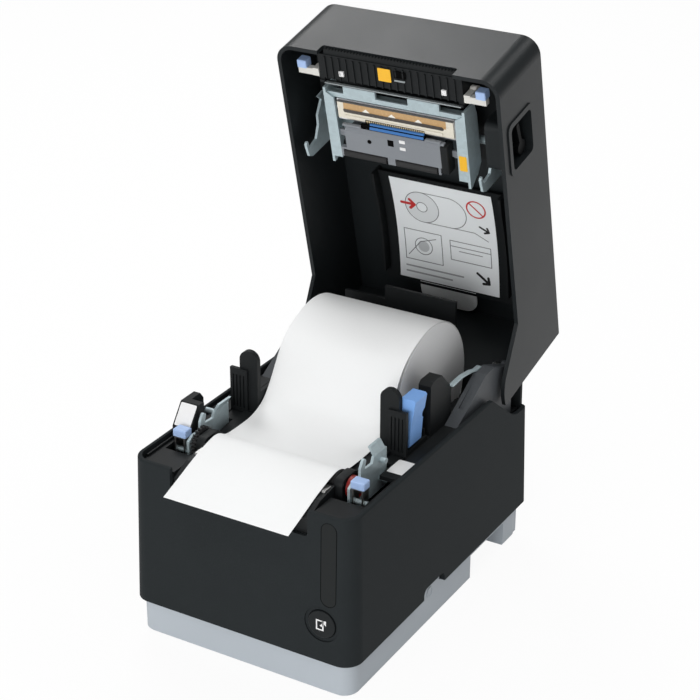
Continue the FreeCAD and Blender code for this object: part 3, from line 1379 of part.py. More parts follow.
def latch_bar():
    """Latch shaft with a hook plate at each side, hooks swung clear of their catches."""
    shaft = rod(-plate_outer_x - 9.2, lid_half - 6.0, latch_y, latch_z, latch_radius)
    low = catch_z - 4.7
    outline = [(latch_y - 14, latch_z + 1), (latch_y - 14.5, latch_z - 5.6), (latch_y - 10.5, latch_z - 3),
               (latch_y - 4.5, latch_z - 10.5), (latch_y + 1.5, latch_z - 12), (catch_y + 2.3, catch_z + 6),
               (catch_y + 2.3, low + 2.3), (catch_y - 3.0, low + 2.3), (catch_y - 3.0, low + 1),
               (catch_y - 2.0, low), (catch_y + 6.5, low), (catch_y + 9.0, low + 3),
               (latch_y + 19, latch_z - 4), (latch_y + 16, latch_z + 3), (latch_y - 8, latch_z + 4.5)]
    right = side_prism(outline, plate_outer_x + 0.8, plate_outer_x + 0.8 + sheet_metal)
    left = side_prism(outline, -plate_outer_x - 8.2, -plate_outer_x - 8.2 + sheet_metal)
    return swung_clear(joined(shaft, right, left))


def swung_clear(shape):
    """The latch in its released pose."""
    turned = shape.copy()
    turned.rotate(Vector(0, latch_y, latch_z), Vector(1, 0, 0), latch_release)
    return turned


def open_lever():
    """Finger lever on the latch shaft, inside the side pocket."""
    x0 = lid_half - pocket_depth + 3.0
    x1 = lid_half - 3.0
    hub = rod(x0, x1, latch_y, latch_z, latch_radius + 2.0)
    paddle = box(x0, x1, latch_y - 17, latch_y, latch_z - 1.5, latch_z + 1.5)
    paddle = paddle.makeFillet(1.2, edges_along(paddle, Vector(1, 0, 0), lambda c: c.y < latch_y - 10))
    bore = rod(x0 - 1, lid_half - 6.0, latch_y, latch_z, latch_radius)
    return swung_clear(joined(hub, paddle).cut(bore))


def head_lock():
    """Right pale lever that holds the cutter cover, on its stub pin."""
    x0 = cover_half + 0.5
    ring = rod(x0, x0 + 3.8, lock_y, lock_z, 3.4)
    shank = box(x0, x0 + 3.8, lock_y - 2.4, lock_y + 2.4, lid_rim + 4.2, lock_z)
    foot = box(x0, x0 + 13.5, lock_y - 1.8, lock_y + 2.2, lid_rim + 4.2, lid_rim + 7.8)
    bore = rod(x0 - 1, x0 + 9, lock_y, lock_z, lever_pin_radius + running_clearance)
    return joined(ring, shank, foot).cut(bore)


def lock_tab():
    """Right blue tab on the end of the lock lever."""
    x0 = cover_half + 8.0
    tab = box(x0, x0 + 6.2, lock_y - 6.6, lock_y - 1.8, lid_rim + 3.2, lid_rim + 9.6)
    return tab.makeFillet(0.9, [e for e in tab.Edges if e.CenterOfMass.y < lock_y - 3])


def case_parts():
    """Pieces of the base and case, as they stand."""
    return {
        "base_tray": base_tray(),
        "rubber_feet": rubber_feet(),
        "case_screws": case_screws(),
        "case_shell": case_shell(),
        "led_lens": led_lens(),
        "feed_button": feed_button(),
        "button_board": button_board(),
        "deck": deck(),
        "roll_bay": roll_bay(),
        "rear_bay_wall": rear_bay_wall(),
        "print_frame": print_frame(),
        "platen_bushes": platen_bushes(),
        "platen_shaft": platen_shaft(),
        "platen_roller": platen_roller(),
        "platen_gear": platen_gear(),
        "idler_gear": idler_gear(),
        "motor_pinion": motor_pinion(),
        "feed_motor": feed_motor(),
        "exit_guide": exit_guide(),
        "fixed_blade": fixed_blade(),
        "paper_web": paper_web(),
        "paper_roll": paper_roll(),
        "roll_core": roll_core(),
        "release_lever_right": release_lever(),
        "release_lever_left": mirrored(release_lever()),
        "release_cap_right": release_cap(),
        "release_cap_left": mirrored(release_cap()),
        "left_housing": left_housing(),
        "left_guide": mirrored(guide_form()),
        "right_guide": right_guide(),
        "guide_lock": guide_lock(),
        "hinge_towers": Part.makeCompound(both_sides(hinge_tower())),
        "hinge_pins": Part.makeCompound(both_sides(hinge_pin())),
        "hinge_springs": Part.makeCompound(both_sides(hinge_spring())),
        "control_board": control_board(),
        "power_inlet": power_inlet(),
        "data_sockets": data_sockets(),
        "switch_frame": switch_frame(),
        "switch_rocker": switch_rocker(),
    }


def lid_parts():
    """Pieces that swing with the lid, drawn shut."""
    return {
        "lid_shell": lid_shell(),
        "lever_pocket": lever_pocket(),
        "lid_liner": lid_liner(),
        "lid_frame": lid_frame(),
        "tear_bar": tear_bar(),
        "cutter_cover": cutter_cover(),
        "cutter_blade": cutter_blade(),
        "cutter_motor": cutter_motor(),
        "head_bracket": head_bracket(),
        "heat_sink": heat_sink(),
        "print_head": print_head(),
        "head_springs": head_springs(),
        "sensor_panel": sensor_panel(),
        "pinch_rollers": pinch_rollers(),
        "latch_bar": latch_bar(),
        "open_lever": open_lever(),
        "head_lock_right": head_lock(),
        "head_lock_left": mirrored(head_lock()),
        "lock_tab_right": lock_tab(),
        "lock_tab_left": mirrored(lock_tab()),
    }


def all_parts():
    parts = case_parts()
    for name, shape in lid_parts().items():
        parts[name] = opened(shape)
    return parts


if __name__ == "__main__":
    os.makedirs("parts", exist_ok=True)
    for name, shape in all_parts().items():
        shape.exportStep("parts/" + name + ".step")
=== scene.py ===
import json
import math

import bpy
from mathutils import Matrix, Vector


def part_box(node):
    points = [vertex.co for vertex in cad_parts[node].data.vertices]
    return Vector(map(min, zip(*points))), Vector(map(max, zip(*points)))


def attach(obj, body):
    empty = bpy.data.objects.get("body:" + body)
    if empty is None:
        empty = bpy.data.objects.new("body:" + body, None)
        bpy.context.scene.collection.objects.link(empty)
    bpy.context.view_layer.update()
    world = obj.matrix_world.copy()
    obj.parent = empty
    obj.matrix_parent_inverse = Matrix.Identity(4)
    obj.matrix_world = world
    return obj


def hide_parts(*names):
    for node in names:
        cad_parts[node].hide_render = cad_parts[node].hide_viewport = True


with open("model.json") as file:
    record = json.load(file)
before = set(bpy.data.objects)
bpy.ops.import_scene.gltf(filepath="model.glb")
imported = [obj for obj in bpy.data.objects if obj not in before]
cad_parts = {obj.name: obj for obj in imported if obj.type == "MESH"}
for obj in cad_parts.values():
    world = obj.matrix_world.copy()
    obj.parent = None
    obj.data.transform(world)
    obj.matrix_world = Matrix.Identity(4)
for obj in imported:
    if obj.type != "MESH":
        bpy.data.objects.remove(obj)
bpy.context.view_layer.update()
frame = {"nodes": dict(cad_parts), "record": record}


# Base tray. A shallow tray moulded in light grey plastic with a fine sparked texture, screwed
# to the case from below. A round plug with a sunk face closes a hole in each long side.
class Ink:
    """A value or colour on its way through the nodes of a finish."""

    def __init__(self, tree, socket):
        self.tree = tree
        self.socket = socket

    def node(self, kind, settings, sockets, result=0):
        made = self.tree.nodes.new("ShaderNode" + kind)
        for key, value in settings.items():
            setattr(made, key, value)
        for key, value in sockets.items():
            if isinstance(value, Ink):
                self.tree.links.new(value.socket, made.inputs[key])
            else:
                made.inputs[key].default_value = value
        return Ink(self.tree, made.outputs[result])

    def maths(self, operation, first, second):
        return self.node("Math", {"operation": operation}, {0: first, 1: second})

    def part(self, which):
        return self.node("SeparateXYZ", {}, {0: self}, result=which)

    def __add__(self, other):
        return self.maths("ADD", self, other)

    def __sub__(self, other):
        return self.maths("SUBTRACT", self, other)

    def __mul__(self, other):
        return self.maths("MULTIPLY", self, other)

    def __gt__(self, other):
        return self.maths("GREATER_THAN", self, other)

    def __lt__(self, other):
        return self.maths("LESS_THAN", self, other)

    def __or__(self, other):
        return self.maths("MAXIMUM", self, other)

    def __abs__(self):
        return self.maths("ABSOLUTE", self, 0.0)

    def __radd__(self, other):
        return self.maths("ADD", other, self)

    def __rsub__(self, other):
        return self.maths("SUBTRACT", other, self)

    def __rmul__(self, other):
        return self.maths("MULTIPLY", other, self)

    def __ror__(self, other):
        return self.maths("MAXIMUM", other, self)


def new_finish(name):
    """An empty finish, its shader and the place on the piece."""
    material = bpy.data.materials.new(name)
    material.use_nodes = True
    tree = material.node_tree
    place = Ink(tree, tree.nodes.new("ShaderNodeTexCoord").outputs["Object"])
    return material, tree.nodes["Principled BSDF"], place


def feed(shader, socket, ink):
    ink.tree.links.new(ink.socket, shader.inputs[socket])


def noise(place, scale, detail=3.0, roughness=0.55):
    return place.node("TexNoise", {}, {"Vector": place, "Scale": scale, "Detail": detail,
                                       "Roughness": roughness})


def mixed(mask, first, second):
    """Colour that goes from first to second with the mask."""
    return mask.node("Mix", {"data_type": "RGBA"}, {0: mask, 6: first, 7: second}, result=2)


def relief(shader, height, depth, strength=1.0):
    feed(shader, "Normal", height.node("Bump", {}, {"Height": height, "Distance": depth,
                                                    "Strength": strength}))


def shades(colour, spread):
    """A darker and a lighter shade of a colour."""
    dark = [part * (1 - spread) for part in colour] + [1.0]
    light = [min(1.0, part * (1 + spread)) for part in colour] + [1.0]
    return dark, light


def moulded(name, colour, roughness, grain, depth, spread=0.10, bend=1.45):
    """Moulded plastic with a sparked grain and faint flow marks."""
    material, shader, place = new_finish(name)
    cloud = noise(place, 28.0, 5.0)
    pits = noise(place, grain, 2.0, 0.7)
    dark, light = shades(colour, spread)
    feed(shader, "Base Color", mixed(cloud * 0.7 + pits * 0.3, dark, light))
    feed(shader, "Roughness", roughness - 0.08 + cloud * 0.10 + pits * 0.06)
    shader.inputs["IOR"].default_value = bend
    relief(shader, pits + cloud * 0.3, depth)
    return material


def dress(finish, *nodes):
    """Gives CAD pieces their finish."""
    for node in nodes:
        slots = frame["nodes"][node].data.materials
        slots.clear()
        slots.append(finish)


def start_block(name, low, high):
    """A block between two corners in millimetres, ready to be shaped."""
    bpy.ops.object.select_all(action="DESELECT")
    middle = [(a + b) / 2000 for a, b in zip(low, high)]
    bpy.ops.mesh.primitive_cube_add(size=1.0, location=middle)
    piece = bpy.context.object
    piece.name = name
    piece.scale = [(b - a) / 1000 for a, b in zip(low, high)]
    bpy.ops.object.transform_apply(location=True, rotation=True, scale=True)
    return piece


def start_disc(name, centre, axis, radius, length, sides=40):
    """A short round bar along an axis, sizes in millimetres, ready to be shaped."""
    bpy.ops.object.select_all(action="DESELECT")
    turn = Vector((0, 0, 1)).rotation_difference(Vector(axis)).to_euler()
    bpy.ops.mesh.primitive_cylinder_add(vertices=sides, radius=radius / 1000, depth=length / 1000,
                                        location=[part / 1000 for part in centre], rotation=turn)
    piece = bpy.context.object
    piece.name = name
    bpy.ops.object.transform_apply(location=True, rotation=True, scale=True)
    return piece


def pick_faces(piece, wanted):
    """Opens a piece for shaping with the wanted faces selected."""
    bpy.context.view_layer.objects.active = piece
    bpy.ops.object.mode_set(mode="EDIT")
    bpy.ops.mesh.select_mode(type="FACE")
    bpy.ops.mesh.select_all(action="DESELECT")
    bpy.ops.object.mode_set(mode="OBJECT")
    for face in piece.data.polygons:
        face.select = bool(wanted(face))
    bpy.ops.object.mode_set(mode="EDIT")


def pick_edges(piece, wanted):
    """Opens a piece for shaping with the wanted edges selected."""
    bpy.context.view_layer.objects.active = piece
    bpy.ops.object.mode_set(mode="EDIT")
    bpy.ops.mesh.select_mode(type="EDGE")
    bpy.ops.mesh.select_all(action="DESELECT")
    bpy.ops.object.mode_set(mode="OBJECT")
    corners = piece.data.vertices
    for edge in piece.data.edges:
        first = corners[edge.vertices[0]].co
        second = corners[edge.vertices[1]].co
        edge.select = bool(wanted((second - first).normalized(), (first + second) / 2))
    bpy.ops.object.mode_set(mode="EDIT")


def sink_face(piece, normal, rim, depth):
    """Insets the face that looks along the normal and pushes its middle in, in millimetres."""
    pick_faces(piece, lambda face: face.normal.dot(Vector(normal)) > 0.99)
    bpy.ops.mesh.inset(thickness=rim / 1000)
    shift = [-part * depth / 1000 for part in normal]
    bpy.ops.mesh.extrude_region_move(TRANSFORM_OT_translate={"value": shift})
    bpy.ops.object.mode_set(mode="OBJECT")


def round_corners(piece, axis, radius, steps=4):
    """Rounds the edges of a block that run along an axis."""
    pick_edges(piece, lambda run, middle: abs(run[axis]) > 0.99)
    bpy.ops.mesh.bevel(offset=radius / 1000, segments=steps, affect="EDGES")
    bpy.ops.object.mode_set(mode="OBJECT")


def soften(piece, width, steps=2):
    """Breaks the sharp edges of a piece."""
    bpy.context.view_layer.objects.active = piece
    edge = piece.modifiers.new("soft edges", "BEVEL")
    edge.width = width / 1000
    edge.segments = steps
    edge.limit_method = "ANGLE"
    edge.angle_limit = 0.6
    bpy.ops.object.modifier_apply(modifier=edge.name)


def settle(piece, body, finish):
    """Finishes a new piece and fixes it to its body."""
    bpy.ops.object.select_all(action="DESELECT")
    piece.select_set(True)
    bpy.context.view_layer.objects.active = piece
    bpy.ops.object.shade_smooth_by_angle(angle=0.7)
    piece.data.materials.append(finish)
    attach(piece, body)


def pull_face(piece, normal, *shifts):
    """Extrudes the face that looks along the normal, by one shift in millimetres after another."""
    pick_faces(piece, lambda face: face.normal.dot(Vector(normal)) > 0.99)
    for shift in shifts:
        run = [part / 1000 for part in shift]
        bpy.ops.mesh.extrude_region_move(TRANSFORM_OT_translate={"value": run})
    bpy.ops.object.mode_set(mode="OBJECT")


def sided(name, side):
    """The name of the right or the left piece of a pair."""
    return name + ("_right" if side > 0 else "_left")


base_grey = moulded("base grey plastic", (0.425, 0.465, 0.505), 0.52, 1900.0, 0.00004, 0.05)
dress(base_grey, "base_tray")
tray_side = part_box("base_tray")[1].x * 1000
plug_y = -14.0
plug_z = 19.4
plug_radius = 3.4
plug_length = 0.6
for side in (-1, 1):
    plug_place = (side * (tray_side + 0.1), plug_y, plug_z)
    plug = start_disc(sided("tray_plug", side), plug_place, (side, 0, 0), plug_radius, plug_length)
    sink_face(plug, (side, 0, 0), 0.8, 0.35)
    soften(plug, 0.1)
    settle(plug, "printer", base_grey)


# Pads and screws under the tray. The pads are matte black rubber discs glued into shallow
# recesses, and the screws are bright steel.
foot_rubber = moulded("foot rubber", (0.022, 0.022, 0.023), 0.82, 2600.0, 0.00006)
dress(foot_rubber, "rubber_feet")


def turned_steel(name, colour, roughness, along):
    """Bright steel with fine tool lines; along sets how they run in X, Y and Z."""
    material, shader, place = new_finish(name)
    lines = place.node("Mapping", {}, {"Vector": place, "Scale": along})
    scratch = noise(lines, 60.0, 4.0, 0.7)
    cloud = noise(place, 90.0)
    dark, light = shades(colour, 0.14)
    feed(shader, "Base Color", mixed(scratch, dark, light))
    feed(shader, "Roughness", roughness - 0.07 + scratch * 0.10 + cloud * 0.08)
    shader.inputs["Metallic"].default_value = 1.0
    relief(shader, scratch, 0.000015, 0.6)
    return material


bright_steel = turned_steel("bright steel", (0.62, 0.62, 0.61), 0.28, (4.0, 40.0, 40.0))
dress(bright_steel, "case_screws")


# Case. One black moulding with drafted walls and a fine matte texture; the lid and the tray
# close on it, and its front carries the lens, the button and the paper notch.
case_black = moulded("black textured plastic", (0.0220, 0.0255, 0.0272), 0.48, 1100.0, 0.00009, 0.16, 1.09)
dress(case_black, "case_shell")


# Status lens. A smoked strip set flush into the front wall, with a thin black gasket in the
# joint round it.
lens_finish = moulded("smoked lens", (0.0125, 0.0145, 0.0150), 0.42, 900.0, 0.00001, 0.08, 1.22)
dress(lens_finish, "led_lens")
rubber_and_shade_black = moulded("black rubber and painted shade", (0.003, 0.003, 0.003), 0.8, 1800.0, 0.00003, 0.1, 1.1)
lens_low, lens_high = [corner * 1000 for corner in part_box("led_lens")]
lens_x = (lens_low.x + lens_high.x) / 2
gasket_half = 4.9
gasket_ring = 0.32
wall_face = -107.0
gasket = start_block("lens_gasket", (lens_x - gasket_half, wall_face, 56.85),
                     (lens_x + gasket_half, wall_face + 0.5, 108.15))
round_corners(gasket, 1, gasket_half - 0.05, 10)
pick_faces(gasket, lambda face: abs(face.normal.y) > 0.99)
bpy.ops.mesh.inset(thickness=gasket_ring / 1000)
bpy.ops.mesh.delete(type="FACE")
pick_edges(gasket, lambda run, middle: False)
bpy.ops.mesh.select_non_manifold()
bpy.ops.mesh.bridge_edge_loops()
bpy.ops.mesh.select_all(action="SELECT")
bpy.ops.mesh.normals_make_consistent(inside=False)
bpy.ops.object.mode_set(mode="OBJECT")
wall_lean = math.radians(1.32)
wall_foot = Vector((0, wall_face, 21.3)) / 1000
gasket_rise = Vector((0, -0.03, 0)) / 1000
gasket.matrix_world = (Matrix.Translation(wall_foot) @ Matrix.Rotation(-wall_lean, 4, "X")
                       @ Matrix.Translation(gasket_rise - wall_foot))
bpy.ops.object.transform_apply(location=True, rotation=True, scale=True)
settle(gasket, "printer", rubber_and_shade_black)


# Feed button. A round black cap in a shallow dish, with a white printed mark of a sheet and an
# arrow, and a small green switch board on pegs behind it.
button_finish = moulded("button plastic", (0.0115, 0.0135, 0.0145), 0.42, 2200.0, 0.00003, 0.1, 1.22)
dress(button_finish, "feed_button")
mark_white = moulded("white printing ink", (0.78, 0.78, 0.78), 0.5, 2600.0, 0.00001, 0.04)
mark_x = 53.3
mark_z = 45.0
cap_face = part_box("feed_button")[0].y * 1000
mark_front = cap_face - 0.03
mark_back = cap_face + 0.2
sheet_mark = start_block("feed_mark_sheet", (mark_x - 3.4, mark_front, mark_z - 3.8),
                         (mark_x + 1.4, mark_back, mark_z + 2.6))
pick_faces(sheet_mark, lambda face: abs(face.normal.y) > 0.99)
bpy.ops.mesh.inset(thickness=0.0008)
bpy.ops.mesh.bridge_edge_loops()
bpy.ops.object.mode_set(mode="OBJECT")
settle(sheet_mark, "feed_button", mark_white)
arrow_mark = start_block("feed_mark_arrow", (mark_x - 0.2, mark_front, mark_z - 1.2),
                         (mark_x + 1.0, mark_back, mark_z + 1.6))
pick_faces(arrow_mark, lambda face: face.normal.z > 0.99)
bpy.ops.mesh.extrude_region_move(TRANSFORM_OT_translate={"value": (0, 0, 0)})
bpy.ops.transform.resize(value=(3.4, 1, 1))
bpy.ops.mesh.extrude_region_move(TRANSFORM_OT_translate={"value": (0, 0, 0.0024)})
bpy.ops.transform.resize(value=(0.05, 1, 1))
bpy.ops.object.mode_set(mode="OBJECT")
arrow_turn = 0.7
arrow_pivot = Vector((mark_x, 0, mark_z)) / 1000
arrow_mark.matrix_world = (Matrix.Translation(arrow_pivot) @ Matrix.Rotation(arrow_turn, 4, "Y")
                           @ Matrix.Translation(-arrow_pivot))
bpy.ops.object.transform_apply(location=True, rotation=True, scale=True)
settle(arrow_mark, "feed_button", mark_white)


def circuit_green(name):
    """Solder mask over copper tracks."""
    material, shader, place = new_finish(name)
    tracks = place.node("TexBrick", {}, {"Vector": place, "Scale": 120.0, "Mortar Size": 0.06,
                                         "Color1": (0.010, 0.075, 0.030, 1),
                                         "Color2": (0.013, 0.10, 0.040, 1),
                                         "Mortar": (0.03, 0.17, 0.07, 1)})
    feed(shader, "Base Color", tracks)
    feed(shader, "Roughness", 0.3 + noise(place, 220.0) * 0.2)
    return material


board_green = circuit_green("circuit board")
dress(board_green, "button_board", "control_board")


# Deck, roll bay and rear wall. Plain black mouldings inside the case that carry the print
# mechanism and the paper, with a bare white label on the deck beside the right guide.
inner_black = moulded("inner black plastic", (0.0105, 0.0120, 0.0128), 0.52, 2400.0, 0.00003, 0.12, 1.26)
dress(inner_black, "deck", "roll_bay", "rear_bay_wall", "exit_guide", "left_housing", "left_guide",
      "right_guide")


def printed_label(name, colour):
    """Coated label paper with a faint tooth."""
    material, shader, place = new_finish(name)
    tooth = noise(place, 1500.0, 4.0)
    dark, light = shades(colour, 0.03)
    feed(shader, "Base Color", mixed(tooth, dark, light))
    feed(shader, "Roughness", 0.42 + tooth * 0.12)
    relief(shader, tooth, 0.00001)
    return material


label_white = printed_label("white label", (0.80, 0.80, 0.80))
deck_top = 108.0
deck_label = start_block("deck_label", (55.4, -41.0, deck_top - 0.05), (66.0, -26.0, deck_top + 0.12))
round_corners(deck_label, 2, 0.9)
settle(deck_label, "printer", label_white)
rib_place = 66.9
rib_half = 0.6
for side in (-1, 1):
    rib_x = side * rib_place
    rib = start_block(sided("deck_rib", side), (rib_x - rib_half, -94.0, deck_top - 0.1),
                      (rib_x + rib_half, 14.0, deck_top + 1.6))
    round_corners(rib, 2, 0.5)
    soften(rib, 0.25)
    settle(rib, "printer", inner_black)


# Print mechanism in the case. A galvanised frame holds the rubber platen on a steel shaft in
# red sleeves, with dark gears and a small stepper motor on its left; screws hold its plates.
def galvanised(name, colour):
    """Zinc-coated sheet with soft spangles and rolling marks."""
    material, shader, place = new_finish(name)
    spangle = place.node("TexVoronoi", {}, {"Vector": place, "Scale": 420.0}, result=1).part(0)
    rolled = noise(place.node("Mapping", {}, {"Vector": place, "Scale": (3.0, 30.0, 30.0)}), 50.0, 3.0)
    dark, light = shades(colour, 0.14)
    feed(shader, "Base Color", mixed(spangle * 0.4 + rolled * 0.6, dark, light))
    feed(shader, "Roughness", 0.36 + spangle * 0.08 + rolled * 0.08)
    shader.inputs["Metallic"].default_value = 0.30
    relief(shader, spangle * 0.4 + rolled, 0.00001, 0.5)
    return material


zinc = galvanised("galvanised sheet", (0.43, 0.52, 0.55))
dress(zinc, "print_frame")
red_sleeve = moulded("red sleeve plastic", (0.22, 0.012, 0.010), 0.38, 1800.0, 0.00002)
dress(red_sleeve, "platen_bushes")
dress(bright_steel, "platen_shaft", "motor_pinion", "fixed_blade")
platen_rubber = moulded("ground rubber", (0.016, 0.016, 0.017), 0.66, 3200.0, 0.00004)
dress(platen_rubber, "platen_roller")
gear_dark = moulded("dark gear plastic", (0.018, 0.018, 0.019), 0.45, 1500.0, 0.00002)
dress(gear_dark, "platen_gear", "idler_gear")
motor_black = moulded("motor lacquer", (0.03, 0.03, 0.032), 0.36, 1300.0, 0.00002)
dress(motor_black, "feed_motor")
plate_inner = 51.2
for side in (-1, 1):
    screw_place = (side * (plate_inner - 0.4), -56.8, 111.4)
    screw = start_disc(sided("frame_screw", side), screw_place, (-side, 0, 0), 2.2, 0.9, 28)
    sink_face(screw, (-side, 0, 0), 0.9, 0.5)
    soften(screw, 0.15)
    settle(screw, "printer", bright_steel)


# Bearing caps. A black arched block clipped over the platen shaft at each end of the roller,
# next to the side plate.
cap_place = 44.65
cap_half = 2.75
cap_arch = 4.5
for side in (-1, 1):
    cap_x = side * cap_place
    cap = start_block(sided("bearing_cap", side), (cap_x - cap_half, -75.0, 99.6),
                      (cap_x + cap_half, -57.4, 115.9))
    pick_edges(cap, lambda run, middle: abs(run.x) > 0.99 and middle.z > 0.11)
    bpy.ops.mesh.bevel(offset=cap_arch / 1000, segments=6, affect="EDGES")
    bpy.ops.object.mode_set(mode="OBJECT")
    sink_face(cap, (side, 0, 0), 1.2, 0.6)
    soften(cap, 0.25)
    settle(cap, "printer", inner_black)


# Release clips. A bent steel clip turns beside each end of the platen, with a pale blue plastic
# tip pushed on its upper end.
dress(bright_steel, "release_lever_right", "release_lever_left")
blue_tip = moulded("pale blue plastic", (0.36, 0.50, 0.78), 0.42, 1700.0, 0.00002, 0.05)
dress(blue_tip, "release_cap_right", "release_cap_left")


# Label on the left housing. A bare white label with rounded corners, stuck to the sloped face of
# the black housing at the left of the platen.
slope_low = Vector((-60.9, -69.2, 116.0))
slope_high = Vector((-60.9, -60.2, 128.0))
slope = math.atan2(slope_high.z - slope_low.z, slope_high.y - slope_low.y)
housing_label = start_block("housing_label", (-5.3, -6.8, -0.05), (5.3, 6.8, 0.12))
round_corners(housing_label, 2, 0.8)
housing_label.matrix_world = (Matrix.Translation((slope_low + slope_high) / 2000)
                              @ Matrix.Rotation(slope, 4, "X"))
bpy.ops.object.transform_apply(location=True, rotation=True, scale=True)
settle(housing_label, "printer", label_white)


# Guide lock. A lever moulded in blue plastic on the right roll guide, which tilts to clamp both
# guides.
lock_blue = moulded("blue lever plastic", (0.20, 0.40, 0.80), 0.42, 1700.0, 0.00002, 0.06)
dress(lock_blue, "guide_lock")


# Paper. A drum of thermal paper wound on a cardboard core. Its outer turn stands a little loose,
# comes down in a soft bend, rises over the platen and leaves through the notch in the front.
def wound_paper(name, middle):
    """Smooth coated paper whose cut ends show the turns as fine rings."""
    material, shader, place = new_finish(name)
    across = place.part(1) - middle.y
    up = place.part(2) - middle.z
    radius = across.maths("POWER", across * across + up * up, 0.5)
    wobble = noise(place, 60.0) * 0.0004
    rings = noise(place.node("CombineXYZ", {}, {0: radius + wobble}), 2600.0, 4.0, 0.7)
    sideways = place.node("NewGeometry", {}, {}, result=1).part(0)
    on_end = abs(sideways) > 0.8
    fibre = noise(place, 900.0, 4.0, 0.6)
    plain = mixed(fibre, (0.83, 0.838, 0.838, 1), (0.86, 0.868, 0.868, 1))
    turns = mixed(rings, (0.72, 0.725, 0.73, 1), (0.86, 0.865, 0.87, 1))
    feed(shader, "Base Color", mixed(on_end, plain, turns))
    feed(shader, "Roughness", 0.62 + fibre * 0.12)
    shader.inputs["Specular IOR Level"].default_value = 0.3
    relief(shader, fibre * 0.3 + rings * on_end, 0.00006, 0.7)
    return material


roll_low, roll_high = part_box("paper_roll")
roll_middle = (roll_low + roll_high) / 2
paper = wound_paper("thermal paper", roll_middle)
dress(paper, "paper_roll", "paper_web")
turn_first = math.radians(-25)
turn_step = math.radians(15)
turn_count = 10
turn_gap = 0.45
paper_thickness = 0.15
turn_radius = ((roll_high.z - roll_low.z) * 500 + turn_gap) * 3 / (2 + math.cos(turn_step))
route = []
for step in range(turn_count):
    angle = turn_first + step * turn_step
    route.append((roll_middle.y * 1000 + turn_radius * math.cos(angle),
                  roll_middle.z * 1000 + turn_radius * math.sin(angle)))
route += [(12.0, 151.9), (5.0, 146.3), (0.0, 139.6), (-5.0, 131.8), (-10.5, 123.5), (-16.0, 117.2),
          (-21.5, 114.0), (-26.5, 112.4), (-31.5, 111.3), (-37.5, 111.15), (-43.5, 111.2), (-49.5, 111.35),
          (-54.5, 111.6), (-58.0, 112.6), (-61.0, 114.75), (-64.2, 116.0), (-68.0, 116.35), (-72.5, 115.6),
          (-77.0, 114.75), (-82.5, 113.3), (-89.0, 111.4), (-96.0, 109.0), (-103.0, 106.4), (-110.0, 104.1),
          (-117.4, 101.6)]
first_run = Vector((0, route[1][0] - route[0][0], route[1][1] - route[0][1])) / 1000
first_middle = (0, (route[0][0] + route[1][0]) / 2000, (route[0][1] + route[1][1]) / 2000)
bpy.ops.object.select_all(action="DESELECT")
bpy.ops.mesh.primitive_plane_add(size=1.0, location=first_middle,
                                 rotation=(math.atan2(first_run.z, first_run.y), 0, 0))
paper_strip = bpy.context.object
paper_strip.name = "paper_strip"
paper_strip.scale = (roll_high.x - roll_low.x, first_run.length, 1)
bpy.ops.object.transform_apply(location=True, rotation=True, scale=True)
run_end = Vector((0, route[1][0], route[1][1])) / 1000
pick_edges(paper_strip, lambda run, middle: (middle - run_end).length < 0.001)
for (y, z), (next_y, next_z) in zip(route[1:], route[2:]):
    shift = (0, (next_y - y) / 1000, (next_z - z) / 1000)
    bpy.ops.mesh.extrude_region_move(TRANSFORM_OT_translate={"value": shift})
bpy.ops.mesh.select_all(action="SELECT")
bpy.ops.mesh.normals_make_consistent(inside=False)
bpy.ops.object.mode_set(mode="OBJECT")
smooth = paper_strip.modifiers.new("smooth", "SUBSURF")
smooth.levels = 3
smooth.render_levels = 3
smooth.boundary_smooth = "PRESERVE_CORNERS"
bpy.ops.object.modifier_apply(modifier=smooth.name)
body = paper_strip.modifiers.new("paper thickness", "SOLIDIFY")
body.thickness = paper_thickness / 1000
body.offset = 0
bpy.ops.object.modifier_apply(modifier=body.name)
settle(paper_strip, "printer", paper)
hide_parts("paper_web")
cardboard = moulded("wound cardboard", (0.42, 0.33, 0.22), 0.8, 700.0, 0.00010, 0.15)
dress(cardboard, "roll_core")


# Hinge. Dark grey arms stand on the deck and carry steel pins, each with a torsion spring
# that holds the lid open. A bent steel stay ties the right arm to the pillar before it.
arm_grey = moulded("dark grey plastic", (0.065, 0.071, 0.078), 0.46, 2000.0, 0.00003, 0.1, 1.30)
dress(arm_grey, "hinge_towers")
dress(bright_steel, "hinge_pins", "hinge_springs")
stay = start_block("hinge_stay", (56.0, 29.6, 129.6), (59.2, 30.6, 130.6))
pull_face(stay, (0, 1, 0), (0, 11.0, 0.6), (0, 12.0, -1.6), (0, 6.0, -1.8), (0, 6.0, 0.0))
soften(stay, 0.2)
settle(stay, "printer", zinc)


# Rear sockets and power switch. Gloss black mouldings set in the rear wall, with steel shells
# on the data sockets.
socket_black = moulded("gloss black plastic", (0.010, 0.010, 0.011), 0.22, 900.0, 0.00001)
dress(socket_black, "power_inlet", "switch_frame", "switch_rocker")
dress(zinc, "data_sockets")


# Lid. A deep black cover on the hinge, moulded with a finer satin texture than the case, and with
# a pocket in its right side for the finger lever.
lid_black = moulded("black satin plastic", (0.0145, 0.0172, 0.0186), 0.35, 1300.0, 0.00006, 0.14, 1.25)
dress(lid_black, "lid_shell", "lever_pocket")
dress(inner_black, "lid_frame")
lid_hinge = next(joint for joint in frame["record"]["behaviour"]["joints"] if joint["name"] == "lid_hinge")
hinge_place = Vector(lid_hinge["pos_m"])
lid_swing = math.radians(lid_hinge["range_deg"][1])


